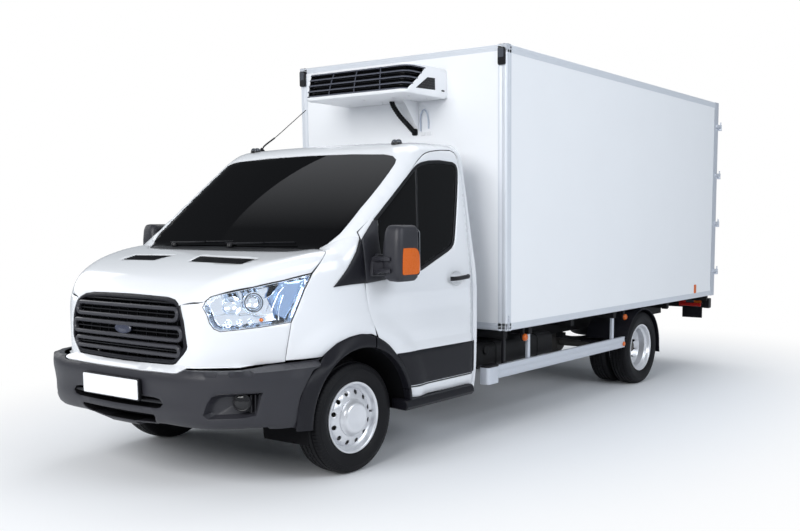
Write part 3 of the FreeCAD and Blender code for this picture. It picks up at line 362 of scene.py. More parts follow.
def dust_group():
    """Road film: full near the ground, gone at Top, broken up by noise."""
    g, given, end = group("road_dust", [("Top", 1.0), ("Amount", 0.5), ("Scale", 3.0)], ["Mask"])
    place = own_place(g)
    height = node(g, "ShaderNodeSeparateXYZ", {0: place}).outputs["Z"]
    fade = node(g, "ShaderNodeMath", {0: height, 1: given["Top"]}, operation="DIVIDE", use_clamp=True).outputs[0]
    low = node(g, "ShaderNodeMath", {0: 1.0, 1: fade}, operation="SUBTRACT").outputs[0]
    patch = node(g, "ShaderNodeTexNoise", {"Vector": place, "Scale": given["Scale"], "Roughness": 0.7})
    feed(g, end, {"Mask": product(g, product(g, low, patch.outputs["Fac"]), given["Amount"], clamp=True)})
    return g


GRAIN, DUST = grain_group(), dust_group()
print("node groups", GRAIN.name, DUST.name)

# %% [markdown]
# Paint, plastic, rubber and metal differ in a few numbers only, so one recipe makes them all: a colour that
# shifts a little over large patches, a grain that stirs roughness and bump, and some road film low down. Glass
# and clear plastic have a recipe of their own with plain numbers.

# %% One recipe for every opaque finish, and one for clear ones
def new_material(name):
    """New material with its tree and its shader."""
    m = bpy.data.materials.new(name)
    m.use_nodes = True
    return m, m.node_tree, m.node_tree.nodes["Principled BSDF"]


def grain_height(tree, scale):
    """Height of the shared grain at a scale."""
    return node(tree, "ShaderNodeGroup", {"Scale": scale}, node_tree=GRAIN).outputs["Height"]


def finish(name, colour, rough, metal=0.0, coat=0.0, grain=(300.0, 0.02), dust=(1.2, 0.25), film=(0.30, 0.27, 0.23),
           spread=0.08, stretch=(1, 1, 1), ior=1.5):
    """Principled material: its colour shifts a little in large patches, its roughness follows the grain, and
    road film lies over its lower parts. grain is (scale, bump strength), dust is (height in metres, amount)."""
    m, t, bsdf = new_material(name)
    turn = node(t, "ShaderNodeMapping", {"Vector": own_place(t), "Scale": stretch})
    patch = node(t, "ShaderNodeTexNoise", {"Vector": turn.outputs["Vector"], "Scale": 2.2, "Detail": 3.0})
    lighter = tuple(min(1.0, c * (1 + spread)) for c in colour) + (1,)
    darker = tuple(c * (1 - spread) for c in colour) + (1,)
    film_mask = node(t, "ShaderNodeGroup", {"Top": dust[0], "Amount": dust[1]}, node_tree=DUST).outputs["Mask"]
    height = grain_height(t, grain[0])
    bump = node(t, "ShaderNodeBump", {"Strength": grain[1], "Distance": 0.001, "Height": height})
    feed(t, bsdf, {"Metallic": metal, "IOR": ior, "Coat Weight": coat, "Coat Roughness": 0.06,
                   "Base Color": mixed(t, film_mask, mixed(t, patch.outputs["Fac"], darker, lighter), film + (1,)),
                   "Roughness": ranged(t, height, target=(max(0.0, rough - 0.06), min(1.0, rough + 0.06))),
                   "Normal": bump.outputs["Normal"]})
    return m


def clear(name, colour, rough=0.03, through=0.0, ior=1.5):
    """Glass or clear plastic: plain see-through numbers, with faint grime in its roughness."""
    m, t, bsdf = new_material(name)
    feed(t, bsdf, {"Base Color": tuple(colour) + (1,), "Transmission Weight": through, "IOR": ior,
                   "Roughness": ranged(t, grain_height(t, 7.0), target=(rough, rough + 0.05))})
    return m


PAINT = finish("white_paint", (0.765, 0.78, 0.81), 0.24, coat=0.7, grain=(900, 0.015), dust=(1.1, 0.10), spread=0.012)
PANEL = finish("white_laminate", (0.87, 0.885, 0.91), 0.34, coat=0.15, grain=(60, 0.03), dust=(1.2, 0.06),
               spread=0.015)
COOLER = finish("white_moulding", (0.80, 0.81, 0.83), 0.38, grain=(700, 0.05), dust=(1.0, 0.02), spread=0.02)
BUMPER = finish("bumper_plastic", (0.022, 0.022, 0.028), 0.42, grain=(1500, 0.3), dust=(0.9, 0.02), ior=1.45)
GRAINED = finish("grained_plastic", (0.006, 0.006, 0.0095), 0.40, grain=(1500, 0.35), dust=(0.9, 0.015), ior=1.33)
SATIN = finish("satin_black", (0.006, 0.006, 0.008), 0.36, grain=(1100, 0.08), dust=(0.8, 0.02), ior=1.36)
DEEP = finish("shadow_black", (0.003, 0.003, 0.004), 0.85, grain=(200, 0.2), dust=(0.8, 0.01), ior=1.2)
LOUVRE = finish("louvre_grey", (0.075, 0.080, 0.105), 0.30, coat=0.3, grain=(900, 0.05), dust=(0.9, 0.0))
RUBBER = finish("seal_rubber", (0.005, 0.005, 0.006), 0.62, grain=(900, 0.15), dust=(0.9, 0.02), ior=1.3)
TYRE = finish("tyre_rubber", (0.0035, 0.0035, 0.005), 0.55, grain=(700, 0.25), dust=(0.7, 0.03),
              film=(0.08, 0.078, 0.075), spread=0.12, ior=1.30)
RIM = finish("silver_wheel_paint", (0.76, 0.77, 0.80), 0.30, metal=0.55, grain=(1400, 0.06), dust=(0.7, 0.14))
ALLOY = finish("satin_aluminium", (0.60, 0.63, 0.69), 0.36, metal=0.35, grain=(500, 0.05), dust=(1.0, 0.04),
               stretch=(1, 0.05, 1))
PROFILE = finish("anodised_profile", (0.66, 0.69, 0.74), 0.40, metal=0.12, grain=(500, 0.04), dust=(1.0, 0.02),
                 stretch=(1, 0.05, 1))
CHASSIS = finish("chassis_paint", (0.005, 0.005, 0.006), 0.55, grain=(250, 0.2), dust=(0.9, 0.04), spread=0.2, ior=1.3)
CAST = finish("cast_iron", (0.10, 0.095, 0.09), 0.62, metal=0.6, grain=(160, 0.5), dust=(0.8, 0.3), spread=0.25)
CHROME = finish("bright_reflector", (0.80, 0.86, 0.95), 0.10, metal=1.0, grain=(200, 0.04), dust=(0.1, 0.0))
CLOTH = finish("seat_cloth", (0.045, 0.047, 0.055), 0.9, grain=(1200, 0.8), dust=(0.1, 0.0), spread=0.2)
TRIM = finish("cab_trim", (0.07, 0.07, 0.075), 0.7, grain=(900, 0.4), dust=(0.1, 0.0))
PLATE = finish("plate_white", (0.82, 0.83, 0.85), 0.35, coat=0.3, grain=(1500, 0.05), dust=(0.9, 0.04), spread=0.01)
EXHAUST = finish("exhaust_steel", (0.30, 0.27, 0.24), 0.5, metal=0.9, grain=(90, 0.3), dust=(0.8, 0.3), spread=0.3)
RED = finish("red_lens", (0.45, 0.012, 0.01), 0.15, coat=0.6, grain=(900, 0.05), dust=(0.9, 0.1))
GLASS = clear("dark_glass", (0.0015, 0.0015, 0.002), 0.03, ior=1.30)
SMOKED = clear("smoked_lens", (0.10, 0.11, 0.13), 0.05, through=0.35, ior=1.45)
LENS = clear("clear_lens", (0.95, 0.97, 1.0), 0.01, through=1.0, ior=1.45)
AMBER = finish("amber_lens", (0.62, 0.115, 0.003), 0.28, coat=0.15, grain=(150, 0.5), dust=(0.9, 0.02), spread=0.45)
MIRROR = finish("mirror_glass", (0.85, 0.87, 0.9), 0.02, metal=1.0, grain=(50, 0.0), dust=(0.1, 0.0))


def screen_with_painted_reflection():
    """Windscreen glass: the dark tint with a painted reflection, a paler sweep in its colour that starts at an arc
    across the pane and fades downwards."""
    arc_centre, arc_radius, soft = (0.632, -2.279, 1.570), 0.814, 0.006
    # sweep is a painted reflection: a paler colour in the glass, brightest at the top and cut off at the arc
    tint, sweep = (0.002, 0.002, 0.0025, 1), (0.062, 0.062, 0.064, 1)
    m = clear("screen_glass", tint[:3], 0.03, ior=1.08)
    t = m.node_tree
    place = own_place(t)
    away = node(t, "ShaderNodeVectorMath", {0: place, 1: arc_centre}, operation="DISTANCE").outputs["Value"]
    within = ranged(t, away, (arc_radius + soft, arc_radius - soft), interpolation_type="SMOOTHSTEP")
    height = node(t, "ShaderNodeSeparateXYZ", {0: place}).outputs["Z"]
    amount = product(t, within, ranged(t, height, (1.5, 2.02), (0.02, 1.0)))
    feed(t, t.nodes["Principled BSDF"], {"Base Color": mixed(t, amount, tint, sweep)})
    return m


# The windscreen's material carries a painted reflection in its colour.
SCREEN_GLASS = screen_with_painted_reflection()
print("finishes", len(bpy.data.materials))

# %% [markdown]
# The cab's skin is one smooth body that all its pressed panels share, so that shut lines stay flush. A car
# body modeller could push a subdivision cage about by hand. Here the body is the place where three outlines
# agree, side, front and plan, each held as a grid of signed distances, and joined with a rounded maximum that
# gives every edge its radius. A panel is then a patch of that surface between its own shut lines.

# %% Outlines and their signed distance
def spline(points, per=7, closed=False):
    """Smooth line through (a, b) points; each point may carry a third value 0 that keeps it a sharp corner.
    Each span is a cubic whose end slopes are half the chord between the neighbours (Catmull-Rom)."""
    sharp = np.array([len(p) > 2 for p in points])
    p = np.array([p[:2] for p in points], float)
    n = len(p)
    spans = n if closed else n - 1
    i = np.arange(spans)
    j = (i + 1) % n
    back, ahead = ((i - 1) % n, (j + 1) % n) if closed else (np.maximum(i - 1, 0), np.minimum(j + 1, n - 1))
    chord = p[j] - p[i]
    size = np.linalg.norm(chord, axis=1, keepdims=True)

    def slope(mid, low, high):
        d = p[high] - p[low]
        length = np.linalg.norm(p[mid] - p[low], axis=1) + np.linalg.norm(p[high] - p[mid], axis=1) + 1e-9
        return d / length[:, None] * size

    start = np.where((sharp[i])[:, None], chord, slope(i, back, j))
    end = np.where((sharp[j])[:, None], chord, slope(j, i, ahead))
    t = (np.arange(per) / per)[None, :, None]
    a, b, s, e = p[i][:, None], p[j][:, None], start[:, None], end[:, None]
    line = ((2 * t**3 - 3 * t**2 + 1) * a + (t**3 - 2 * t**2 + t) * s + (3 * t**2 - 2 * t**3) * b + (t**3 - t**2) * e)
    line = line.reshape(-1, 2)
    return line if closed else np.vstack([line, p[-1:]])


def inside(points, poly):
    """Which points lie in a closed outline: a ray to the right crosses its sides an odd number of times."""
    a, b = poly, np.roll(poly, -1, axis=0)
    hit = np.zeros(len(points), bool)
    for k in range(0, len(points), 4000):
        u, v = points[k:k + 4000, :1], points[k:k + 4000, 1:]
        crosses = (a[:, 1] > v) != (b[:, 1] > v)
        at = a[:, 0] + (v - a[:, 1]) * (b[:, 0] - a[:, 0]) / (b[:, 1] - a[:, 1] + 1e-12)
        hit[k:k + 4000] = (np.sum(crosses & (u < at), axis=1) % 2).astype(bool)
    return hit


def signed_grid(poly, low, high, step=8.0):
    """Grid of distances to a closed outline, negative inside, with the function that reads it between nodes."""
    ua = np.arange(low[0], high[0] + step, step)
    va = np.arange(low[1], high[1] + step, step)
    pts = np.stack(np.meshgrid(ua, va, indexing="ij"), -1).reshape(-1, 2)
    a, ab = poly, np.roll(poly, -1, axis=0) - poly
    square = (ab**2).sum(1) + 1e-12
    dist = np.empty(len(pts))
    for k in range(0, len(pts), 4000):
        ap = pts[k:k + 4000, None] - a
        t = np.clip((ap * ab).sum(2) / square, 0, 1)
        dist[k:k + 4000] = np.sqrt(((ap - t[..., None] * ab)**2).sum(2).min(1))
    grid = (dist * np.where(inside(pts, poly), -1, 1)).reshape(len(ua), len(va))

    def read(u, v):
        """Bilinear blend of the four nodes round each point."""
        fu = np.clip((u - low[0]) / step, 0, len(ua) - 1.001)
        fv = np.clip((v - low[1]) / step, 0, len(va) - 1.001)
        i, j = fu.astype(int), fv.astype(int)
        s, t = fu - i, fv - j
        return ((1 - s) * ((1 - t) * grid[i, j] + t * grid[i, j + 1])
                + s * ((1 - t) * grid[i + 1, j] + t * grid[i + 1, j + 1]))

    return read


def round_max(a, b, k):
    """Larger of two distances, rounded where they are within k of each other."""
    h = np.maximum(k - np.abs(a - b), 0) / k
    return np.maximum(a, b) + h * h * k / 4


print("a corner rounded by 100 draws in by", float(round_max(0.0, 0.0, 100.0)))

# %% [markdown]
# The outlines are drawn with few points and smooth spans between them, as a body's lines are drawn with a long
# batten. The plan changes at the shelf above the bumper, because the bumper stands further out than the nose.

# %% The cab's three outlines, in millimetres from the front axle (x to the left, y rearwards, z up)
SIDE = [(-950, 338, 0), (-1008, 420), (-1023, 560), (-1010, 690), (-960, 742), (-950, 800), (-944, 960),
        (-918, 1066), (-862, 1142), (-760, 1224), (-560, 1302), (-330, 1354), (-118, 1388, 0), (80, 1552),
        (330, 1766), (600, 2000), (660, 2050), (750, 2097), (900, 2122), (1060, 2130), (1241, 2122, 0),
        (1241, 338, 0)]
HALF_FRONT = [(1000, 338, 0), (1020, 476), (1030, 720), (1032, 900), (1031, 1100), (1020, 1230), (992, 1400),
              (905, 1950), (872, 2042), (800, 2098), (600, 2118), (300, 2130), (0, 2134)]
LOW_PLAN = [(0, -1023), (300, -1013), (560, -985), (740, -925), (868, -822), (950, -680), (1002, -500),
            (1028, -260), (1033, 0), (1033, 1140), (1012, 1241, 0)]
HIGH_PLAN = [(0, -962), (300, -955), (480, -938), (600, -890), (700, -790), (800, -640), (880, -480), (945, -320),
             (1000, -150), (1028, 20), (1033, 200), (1033, 1140), (1012, 1241, 0)]


def doubled(half):
    """Closed outline from its left half: the half and its mirror image."""
    line = spline(half)
    return np.vstack([line, line[::-1] * (-1, 1)])


side_of = signed_grid(spline(SIDE, closed=True), (-1200, 240), (1400, 2300))
front_of = signed_grid(doubled(HALF_FRONT), (-10, 240), (1200, 2300))
low_plan_of = signed_grid(doubled(LOW_PLAN), (-10, -1200), (1200, 1400))
high_plan_of = signed_grid(doubled(HIGH_PLAN), (-10, -1200), (1200, 1400))


def swell(value, middle, width):
    """Smooth hump of height 1, gone at width either side of middle."""
    t = np.clip(np.abs(value - middle) / width, 0, 1)
    return (1 - t * t)**2


def cab(x, y, z):
    """Signed distance to the cab's skin: the rounded meeting of its outlines, with the pressings added."""
    x = np.abs(x)
    mix = np.clip((z - 728) / 14, 0, 1)
    plan = (1 - mix) * low_plan_of(x, y) + mix * high_plan_of(x, y)
    top = round_max(side_of(y, z), front_of(x, z), 130.0)
    body = round_max(top, plan, np.where(z > 742, 90.0, 50.0))
    arch = np.hypot(y, z - AXLE_Z)
    flank = np.clip((x - 700) / 150, 0, 1)
    from_arch = -14 * flank * swell(arch, 560, 110)
    hollow = 13 * flank * swell(z, 965, 135) * np.clip((y - 150) / 250, 0, 1) * np.clip((1165 - y) / 60, 0, 1)
    shoulder = -6 * flank * swell(z, 1092, 42) * np.clip((y - 170) / 200, 0, 1) * np.clip((1165 - y) / 40, 0, 1)
    behind_handle = 17 * flank * swell(np.hypot(y - 985, 1.15 * (z - 1160)), 0, 88)
    return body + from_arch + hollow + shoulder + behind_handle


print("middle of the cab lies inside by", round(-float(cab(0.0, 600.0, 1300.0))), "mm")

# %% [markdown]
# A panel's outline is flat, but the skin is not. Each kind of ray carries a pair of numbers onto the skin, from
# one direction or round one line. A shrinkwrap modifier could press a flat mesh onto a body too, but it
# stretches where a wing turns the corner, and turning rays do not.

# %% Rays that turn two panel coordinates into a place on the skin
WRAP_MM, HOOD_MM = 900.0, 700.0                 # millimetres of panel coordinate per radian of turn


def rays(kind, u, v, about=0.0):
    """Start and direction of the ray for each (u, v): side looks out along x, front along -y, top along z,
    wrap turns about an upright line at y = about, hood about a lengthways line at z = about."""
    o, d = np.zeros((len(u), 3)), np.zeros((len(u), 3))
    if kind == "side":
        o[:, 1], o[:, 2], d[:, 0] = u, v, 1
    elif kind == "front":
        o[:, 0], o[:, 1], o[:, 2], d[:, 1] = u, 1100, v, -1
    elif kind == "top":
        o[:, 0], o[:, 1], o[:, 2], d[:, 2] = u, v, 700, 1
    elif kind == "wrap":
        o[:, 1], o[:, 2] = about, v
        d[:, 0], d[:, 1] = np.sin(u / WRAP_MM), -np.cos(u / WRAP_MM)
    else:
        o[:, 1], o[:, 2] = v, about
        d[:, 0], d[:, 2] = np.sin(u / HOOD_MM), np.cos(u / HOOD_MM)
    return o, d


def on_skin(kind, u, v, about=0.0, depth=0.0, form=cab, far=2400.0):
    """Place on the skin for each (u, v), depth inside it, by halving the ray until the distance is zero."""
    o, d = rays(kind, u, v, about)
    low, high = np.zeros(len(u)), np.full(len(u), far)
    for _ in range(24):
        mid = (low + high) / 2
        p = o + d * mid[:, None]
        out = form(p[:, 0], p[:, 1], p[:, 2]) > -depth
        low, high = np.where(out, low, mid), np.where(out, mid, high)
    return o + d * ((low + high) / 2)[:, None]


def coords(kind, p, about=0.0):
    """The (u, v) of places in space, the other way round from rays."""
    if kind == "side":
        return p[:, [1, 2]]
    if kind == "front":
        return p[:, [0, 2]]
    if kind == "top":
        return p[:, [0, 1]]
    if kind == "wrap":
        return np.stack([WRAP_MM * np.arctan2(p[:, 0], about - p[:, 1]), p[:, 2]], 1)
    return np.stack([HOOD_MM * np.arctan2(p[:, 0], p[:, 2] - about), p[:, 1]], 1)


def along(points, step=14.0, like=None):
    """An outline cut into pieces no longer than step, or into as many as another outline, like, has."""
    p = np.asarray(points, float)
    q = np.roll(p, -1, axis=0)
    guide = p if like is None else like
    count = np.maximum(1, np.ceil(np.linalg.norm(np.roll(guide, -1, 0) - guide, axis=1) / step)).astype(int)
    return np.vstack([a + (b - a) * (np.arange(n) / n)[:, None] for a, b, n in zip(p, q, count)])


print("nose at 560 mm height", on_skin("front", np.array([0.0]), np.array([560.0]))[0].round(1))

# %% [markdown]
# A pressed panel is sheet metal with a rolled rim. Its outline and holes are drawn in two panel coordinates,
# filled with an even net of points, joined into triangles that respect every edge, and only then lifted onto
# the skin. A second sheet behind it closes the panel, so a door or bonnet looks right from inside too.

# %% Panels cut from the skin
def filled(rings, step):
    """Triangles over the space inside rings[0] and outside the others. Returns (places, triangles, the
    index of each ring's own points)."""
    low, high = rings[0].min(0), rings[0].max(0)
    us, vs = np.arange(low[0], high[0], step), np.arange(low[1], high[1], step * 0.87)
    net = np.stack(np.meshgrid(us, vs), -1)
    net[1::2, :, 0] += step / 2
    net = net.reshape(-1, 2)
    edge = np.vstack(rings)

    def wanted(places):
        keep = inside(places, rings[0])
        for hole in rings[1:]:
            keep &= ~inside(places, hole)
        return keep

    net = net[wanted(net)]
    near = np.concatenate([np.sqrt(((net[k:k + 3000, None] - edge)**2).sum(2).min(1))
                           for k in range(0, len(net), 3000)]) if len(net) else np.zeros(0)
    net = net[near > 0.55 * step]
    pts = np.vstack([edge, net])
    edges, start = [], 0
    for r in rings:
        n = len(r)
        edges += [(start + i, start + (i + 1) % n) for i in range(n)]
        start += n
    out = delaunay_2d_cdt([Vector(p) for p in pts.tolist()], edges, [], 0, 1e-5)
    uv = np.array([tuple(v) for v in out[0]])
    tri = np.array([f for f in out[2] if len(f) == 3], int)
    new_of = {old: new for new, olds in enumerate(out[3]) for old in olds}
    loops, start = [], 0
    for r in rings:
        loops.append(np.array([new_of[start + i] for i in range(len(r))]))
        start += len(r)
    return uv, tri[wanted(uv[tri].mean(1))], loops


def panel(kind, outline, holes=(), step=24.0, about=0.0, thick=12.0, roll=2.5, form=cab, depth=0.0):
    """Closed sheet on the skin. Its edge is drawn in by roll and its rim lies 0.7 of roll below its face."""
    rings = []
    for k, line in enumerate([outline, *holes]):
        line = along(line, step)
        if (area(line) > 0) != (k == 0):
            line = line[::-1]
        rings.append(line)
    inner = [inset(r, roll) for r in rings]
    uv, tri, loops = filled(inner, step)
    top = on_skin(kind, uv[:, 0], uv[:, 1], about, depth, form)
    ray = rays(kind, uv[:, 0], uv[:, 1], about)[1]
    normal = np.zeros_like(top)
    flat = np.cross(top[tri[:, 1]] - top[tri[:, 0]], top[tri[:, 2]] - top[tri[:, 0]])
    for k in range(3):
        np.add.at(normal, tri[:, k], flat)
    if (normal * ray).sum() < 0:
        normal = -normal
    normal /= np.linalg.norm(normal, axis=1, keepdims=True) + 1e-12
    n = len(top)
    points, faces = [top, top - normal * thick], [tuple(t) for t in tri.tolist()]
    faces += [tuple(t) for t in (tri[:, ::-1] + n).tolist()]
    start = 2 * n
    for ring, loop in zip(rings, loops):
        m = len(ring)
        rim = on_skin(kind, ring[:, 0], ring[:, 1], about, depth, form)
        rim = rim - normal[loop] * 0.7 * roll
        points += [rim, rim - normal[loop] * (thick - 1.4 * roll)]
        i = np.arange(m)
        j = (i + 1) % m
        strips = [(loop, start + i), (start + i, start + m + i), (start + m + i, loop + n)]
        for a, b in strips:
            faces += [tuple(q) for q in np.stack([a, a[j], b[j], b], 1).tolist()]
        start += 2 * m
    return np.vstack(points), faces


print("faces of a small test panel", len(panel("side", rectangle((300, 400), (900, 1000)))[1]))

# %% [markdown]
# A studio: a pale floor that keeps the shadow near the truck and turns into plain white further out, wide soft
# lamps high in front and to the side that is seen, and a long-ish lens at standing height.

# %% Camera and lights
cam_data = bpy.data.cameras.new("camera")
cam_data.lens, cam_data.sensor_width = 42.17, 36
cam_data.shift_x, cam_data.shift_y = -0.12275, 0.08279
camera = bpy.data.objects.new("camera", cam_data)
camera.location = (4.85267, -6.59226, 1.54954)
camera.rotation_euler = (math.radians(90 - 6.73), 0, math.radians(33.93))
bpy.context.scene.collection.objects.link(camera)
bpy.context.scene.camera = camera
bpy.context.scene.view_settings.view_transform = "Standard"


def softbox(name, place, aim, size, watts, colour=(1, 1, 1)):
    """Rectangular lamp at place turned to face aim."""
    data = bpy.data.lights.new(name, "AREA")
    data.shape, data.size, data.size_y, data.energy, data.color = "RECTANGLE", size[0], size[1], watts, colour
    lamp = bpy.data.objects.new(name, data)
    lamp.location = place
    lamp.rotation_euler = (Vector(aim) - Vector(place)).to_track_quat("-Z", "Y").to_euler()
    bpy.context.scene.collection.objects.link(lamp)


softbox("front_box", (1.5, -9.5, 5.0), (0, -2, 1.1), (6, 4), 560)
softbox("side_box", (9.5, -1.0, 5.5), (1, 0.5, 1.1), (7, 4), 390, (0.91, 0.95, 1.0))
softbox("top_box", (-2.0, 4.5, 9.0), (0, 0.3, 0), (8, 9), 420)
softbox("far_box", (-8.0, -3.0, 4.0), (-1, -1, 1.0), (5, 4), 110)


def seen_directly(tree):
    """Output that is 1 for rays that come straight from the lens or through clear plastic."""
    light = node(tree, "ShaderNodeLightPath").outputs
    kinds = {0: light["Is Camera Ray"], 1: light["Is Transmission Ray"]}
    return node(tree, "ShaderNodeMath", kinds, operation="MAXIMUM").outputs[0]


SKY_LIGHT, SKY_TINT, WHITE = 0.38, (0.86, 0.93, 1.0, 1), (1, 1, 1, 1)
world = bpy.data.worlds.new("studio")
bpy.context.scene.world = world
world.use_nodes = True
wt = world.node_tree
seen = seen_directly(wt)
feed(wt, wt.nodes["Background"], {"Color": mixed(wt, seen, SKY_TINT, WHITE),
                                  "Strength": ranged(wt, seen, target=(SKY_LIGHT, 1.0))})
print("camera at", [round(c, 2) for c in camera.location])

# %% [markdown]
# The floor is one large plane. Near the truck it takes the shadow, and further out it turns into plain light for
# the rays that are seen, so that no horizon line shows.

# %% Floor
floor_mesh = bpy.data.meshes.new("floor")
floor_mesh.from_pydata([(-60, -60, 0), (60, -60, 0), (60, 60, 0), (-60, 60, 0)], [], [(0, 1, 2, 3)])
floor = bpy.data.objects.new("floor", floor_mesh)
bpy.context.scene.collection.objects.link(floor)
ground, gt, ground_bsdf = new_material("studio_floor")
feed(gt, ground_bsdf, {"Base Color": (0.80, 0.815, 0.84, 1), "Roughness": 0.9, "Specular IOR Level": 0.1})
squash = node(gt, "ShaderNodeMapping", {"Vector": own_place(gt), "Scale": (1 / 3.6, 1 / 5.6, 0)})
away = node(gt, "ShaderNodeVectorMath", {0: squash.outputs["Vector"]}, operation="LENGTH").outputs["Value"]
veil = product(gt, ranged(gt, away, (0.45, 1.15), interpolation_type="SMOOTHSTEP"), seen_directly(gt))
glow = node(gt, "ShaderNodeEmission", {"Color": WHITE}).outputs[0]
blend = node(gt, "ShaderNodeMixShader", {"Fac": veil, 1: ground_bsdf.outputs[0], 2: glow})
feed(gt, gt.nodes["Material Output"], {"Surface": blend.outputs[0]})
floor_mesh.materials.append(ground)
print("stage ready")

# %% [markdown]
# The bonnet runs from the grille and lamps up to the black cowl under the windscreen. It is drawn in hood
# coordinates, an angle about a lengthways line and a distance along it, because it wraps over the top. Two
# vents lie near its rear edge, each a hole over a dark tray that five thin slats cross.

# %% Bonnet, cowl and vents
HOOD, WRAP = 700.0, -150.0                      # height of hood's lengthways line, and place of wrap's upright line


def hood(points):
    """Places in space as hood coordinates."""
    return coords("hood", np.asarray(points, float), HOOD)


def wrap(points):
    """Places in space as wrap coordinates."""
    return coords("wrap", np.asarray(points, float), WRAP)


def hood_side(points):
    """(y, z) places on the cab's left side as hood coordinates."""
    return hood(on_skin("side", *np.asarray(points, float).T))


def hood_panel(outline, holes=(), **more):
    """Panel drawn in hood coordinates."""
    return panel("hood", outline, holes, about=HOOD, **more)


def wrap_panel(outline, holes=(), **more):
    """Panel drawn in wrap coordinates."""
    return panel("wrap", outline, holes, about=WRAP, **more)


def halved(line):
    """Outline from its left half, whose first and last points lie on the middle line."""
    line = np.asarray(line, float).copy()
    line[0, 0] = line[-1, 0] = 0
    return np.vstack([line, line[-2:0:-1] * (-1, 1)])


BONNET_EDGE = [(0, -872, 1134), (200, -874, 1136), (357, -876, 1131), (432, -883, 1121), (486, -898, 1092),
               (600, -862, 1104), (634, -848, 1111), (656, -822, 1140), (692, -789, 1153), (799, -644, 1187),
               (876, -491, 1219), (936, -330, 1253), (938, -249, 1324), (892, -190, 1352), (830, -152, 1374),
               (776, -146, 1381), (720, -205, 1374), (654, -252, 1368), (400, -262, 1367), (0, -266, 1366)]
VENT = hood([(63, -406, 1339), (613, -434, 1337), (604, -552, 1307), (119, -536, 1309)])
FAR_VENT = np.array([between(VENT[a], VENT[b], share)
                     for a, b, share in ((0, 1, 0.25), (0, 1, 0.92), (3, 2, 0.92), (3, 2, 0.25))]) * (-1, 1)
bonnet_sheet = hood_panel(halved(hood(BONNET_EDGE)), [VENT, FAR_VENT], thick=18, roll=3)
piece("bonnet_skin", bonnet_sheet, PAINT, "bonnet", ("bonnet",))
slots = []
for vent in (VENT, FAR_VENT):
    slots.append(hood_panel(vent, depth=7, thick=6, roll=1))
    for k in range(5):
        share = (k + 0.9) / 6
        ends = between(vent[0], vent[3], share), between(vent[1], vent[2], share)
        line = between(*ends, np.linspace(0.02, 0.98, 14)[:, None])
        slots.append(carried([(-4, -3), (4, -3), (6, 2), (-4, 3)], on_skin("hood", *line.T, HOOD, 4)))
piece("bonnet_vents", joined(slots), SATIN, "bonnet")
COWL = [(0, -254, 1366), (400, -250, 1367), (654, -240, 1368), (720, -194, 1374), (772, -142, 1384),
        (600, -114, 1386), (300, -110, 1387), (0, -110, 1387)]
piece("cowl", hood_panel(halved(hood(COWL)), depth=5, thick=10), SATIN)
print("bonnet", len(bonnet_sheet[0]), "points")

# %% [markdown]
# The front panel holds the grille and the lamps, and the wings run back from it to the doors. The panel is
# drawn in wrap coordinates, an angle about an upright line and a height, so one outline can turn the corner.

# %% Front panel and wings
LAMP = [(626, -859, 1078), (634, -846, 1107), (656, -821, 1136), (692, -787, 1149), (799, -642, 1183),
        (876, -489, 1215), (937, -326, 1249), (932, -352, 1200), (924, -376, 1155), (910, -411, 1071),
        (892, -453, 972), (823, -599, 955), (757, -710, 945), (694, -798, 938), (671, -824, 955),
        (657, -840, 988), (649, -848, 1030)]
MOUTH = [(0, 1133), (200, 1134), (357, 1129), (432, 1119), (470, 1102), (490, 1080), (510, 1040), (528, 995),
         (548, 857), (542, 838), (521, 812), (466, 759), (440, 751), (407, 749), (158, 744), (0, 743)]
SHELF = [(0, -988, 713), (228, -987, 713), (500, -973, 716), (524, -968, 720), (552, -924, 740), (660, -838, 740),
         (780, -739, 739), (877, -494, 750), (920, -390, 754), (963, -287, 756)]
mouth_edge = wrap(on_skin("front", *np.array(MOUTH, float).T))
lamp_edge = wrap(LAMP)
panel_edge = np.vstack([wrap(SHELF[:8]), wrap([(880, -481, 825), (891, -455, 966)]), lamp_edge[10:], lamp_edge[:2],
                        wrap([(600, -866, 1098), (494, -897, 1087)]), mouth_edge[5:]])
piece("front_skin", wrap_panel(halved(panel_edge), step=20, thick=14), PAINT, "chassis", ("front_panel",))
WING = [(879, -490, 757), (884, -477, 825), (895, -451, 970), (914, -407, 1071), (928, -372, 1155), (936, -348, 1200),
        (943, -318, 1251), (945, -243, 1326), (898, -184, 1356), (834, -146, 1378), (808, -125, 1392)]
wing_edge = np.vstack([hood(WING), hood_side([(49, 1454), (48, 1184), (66, 1090), (84, 1009), (108, 925), (136, 845),
                                              (90, 862), (2, 869), (-95, 862), (-191, 831), (-250, 790)]),
                       hood([(965, -287, 760), (922, -387, 758)])])
piece("wing_skins", both(hood_panel(wing_edge, thick=14)), PAINT, "chassis", ("wings",))
print("front panel and wings done")

# %% [markdown]
# The cab shell is everything that stays when the doors open: roof, pillars, rear corners and sills. Its
# outline starts at the middle of the windscreen's header, follows the screen, then the door opening, the
# sill and the rear edge. The thickness is that of a real box section, so an open door shows a proper reveal.

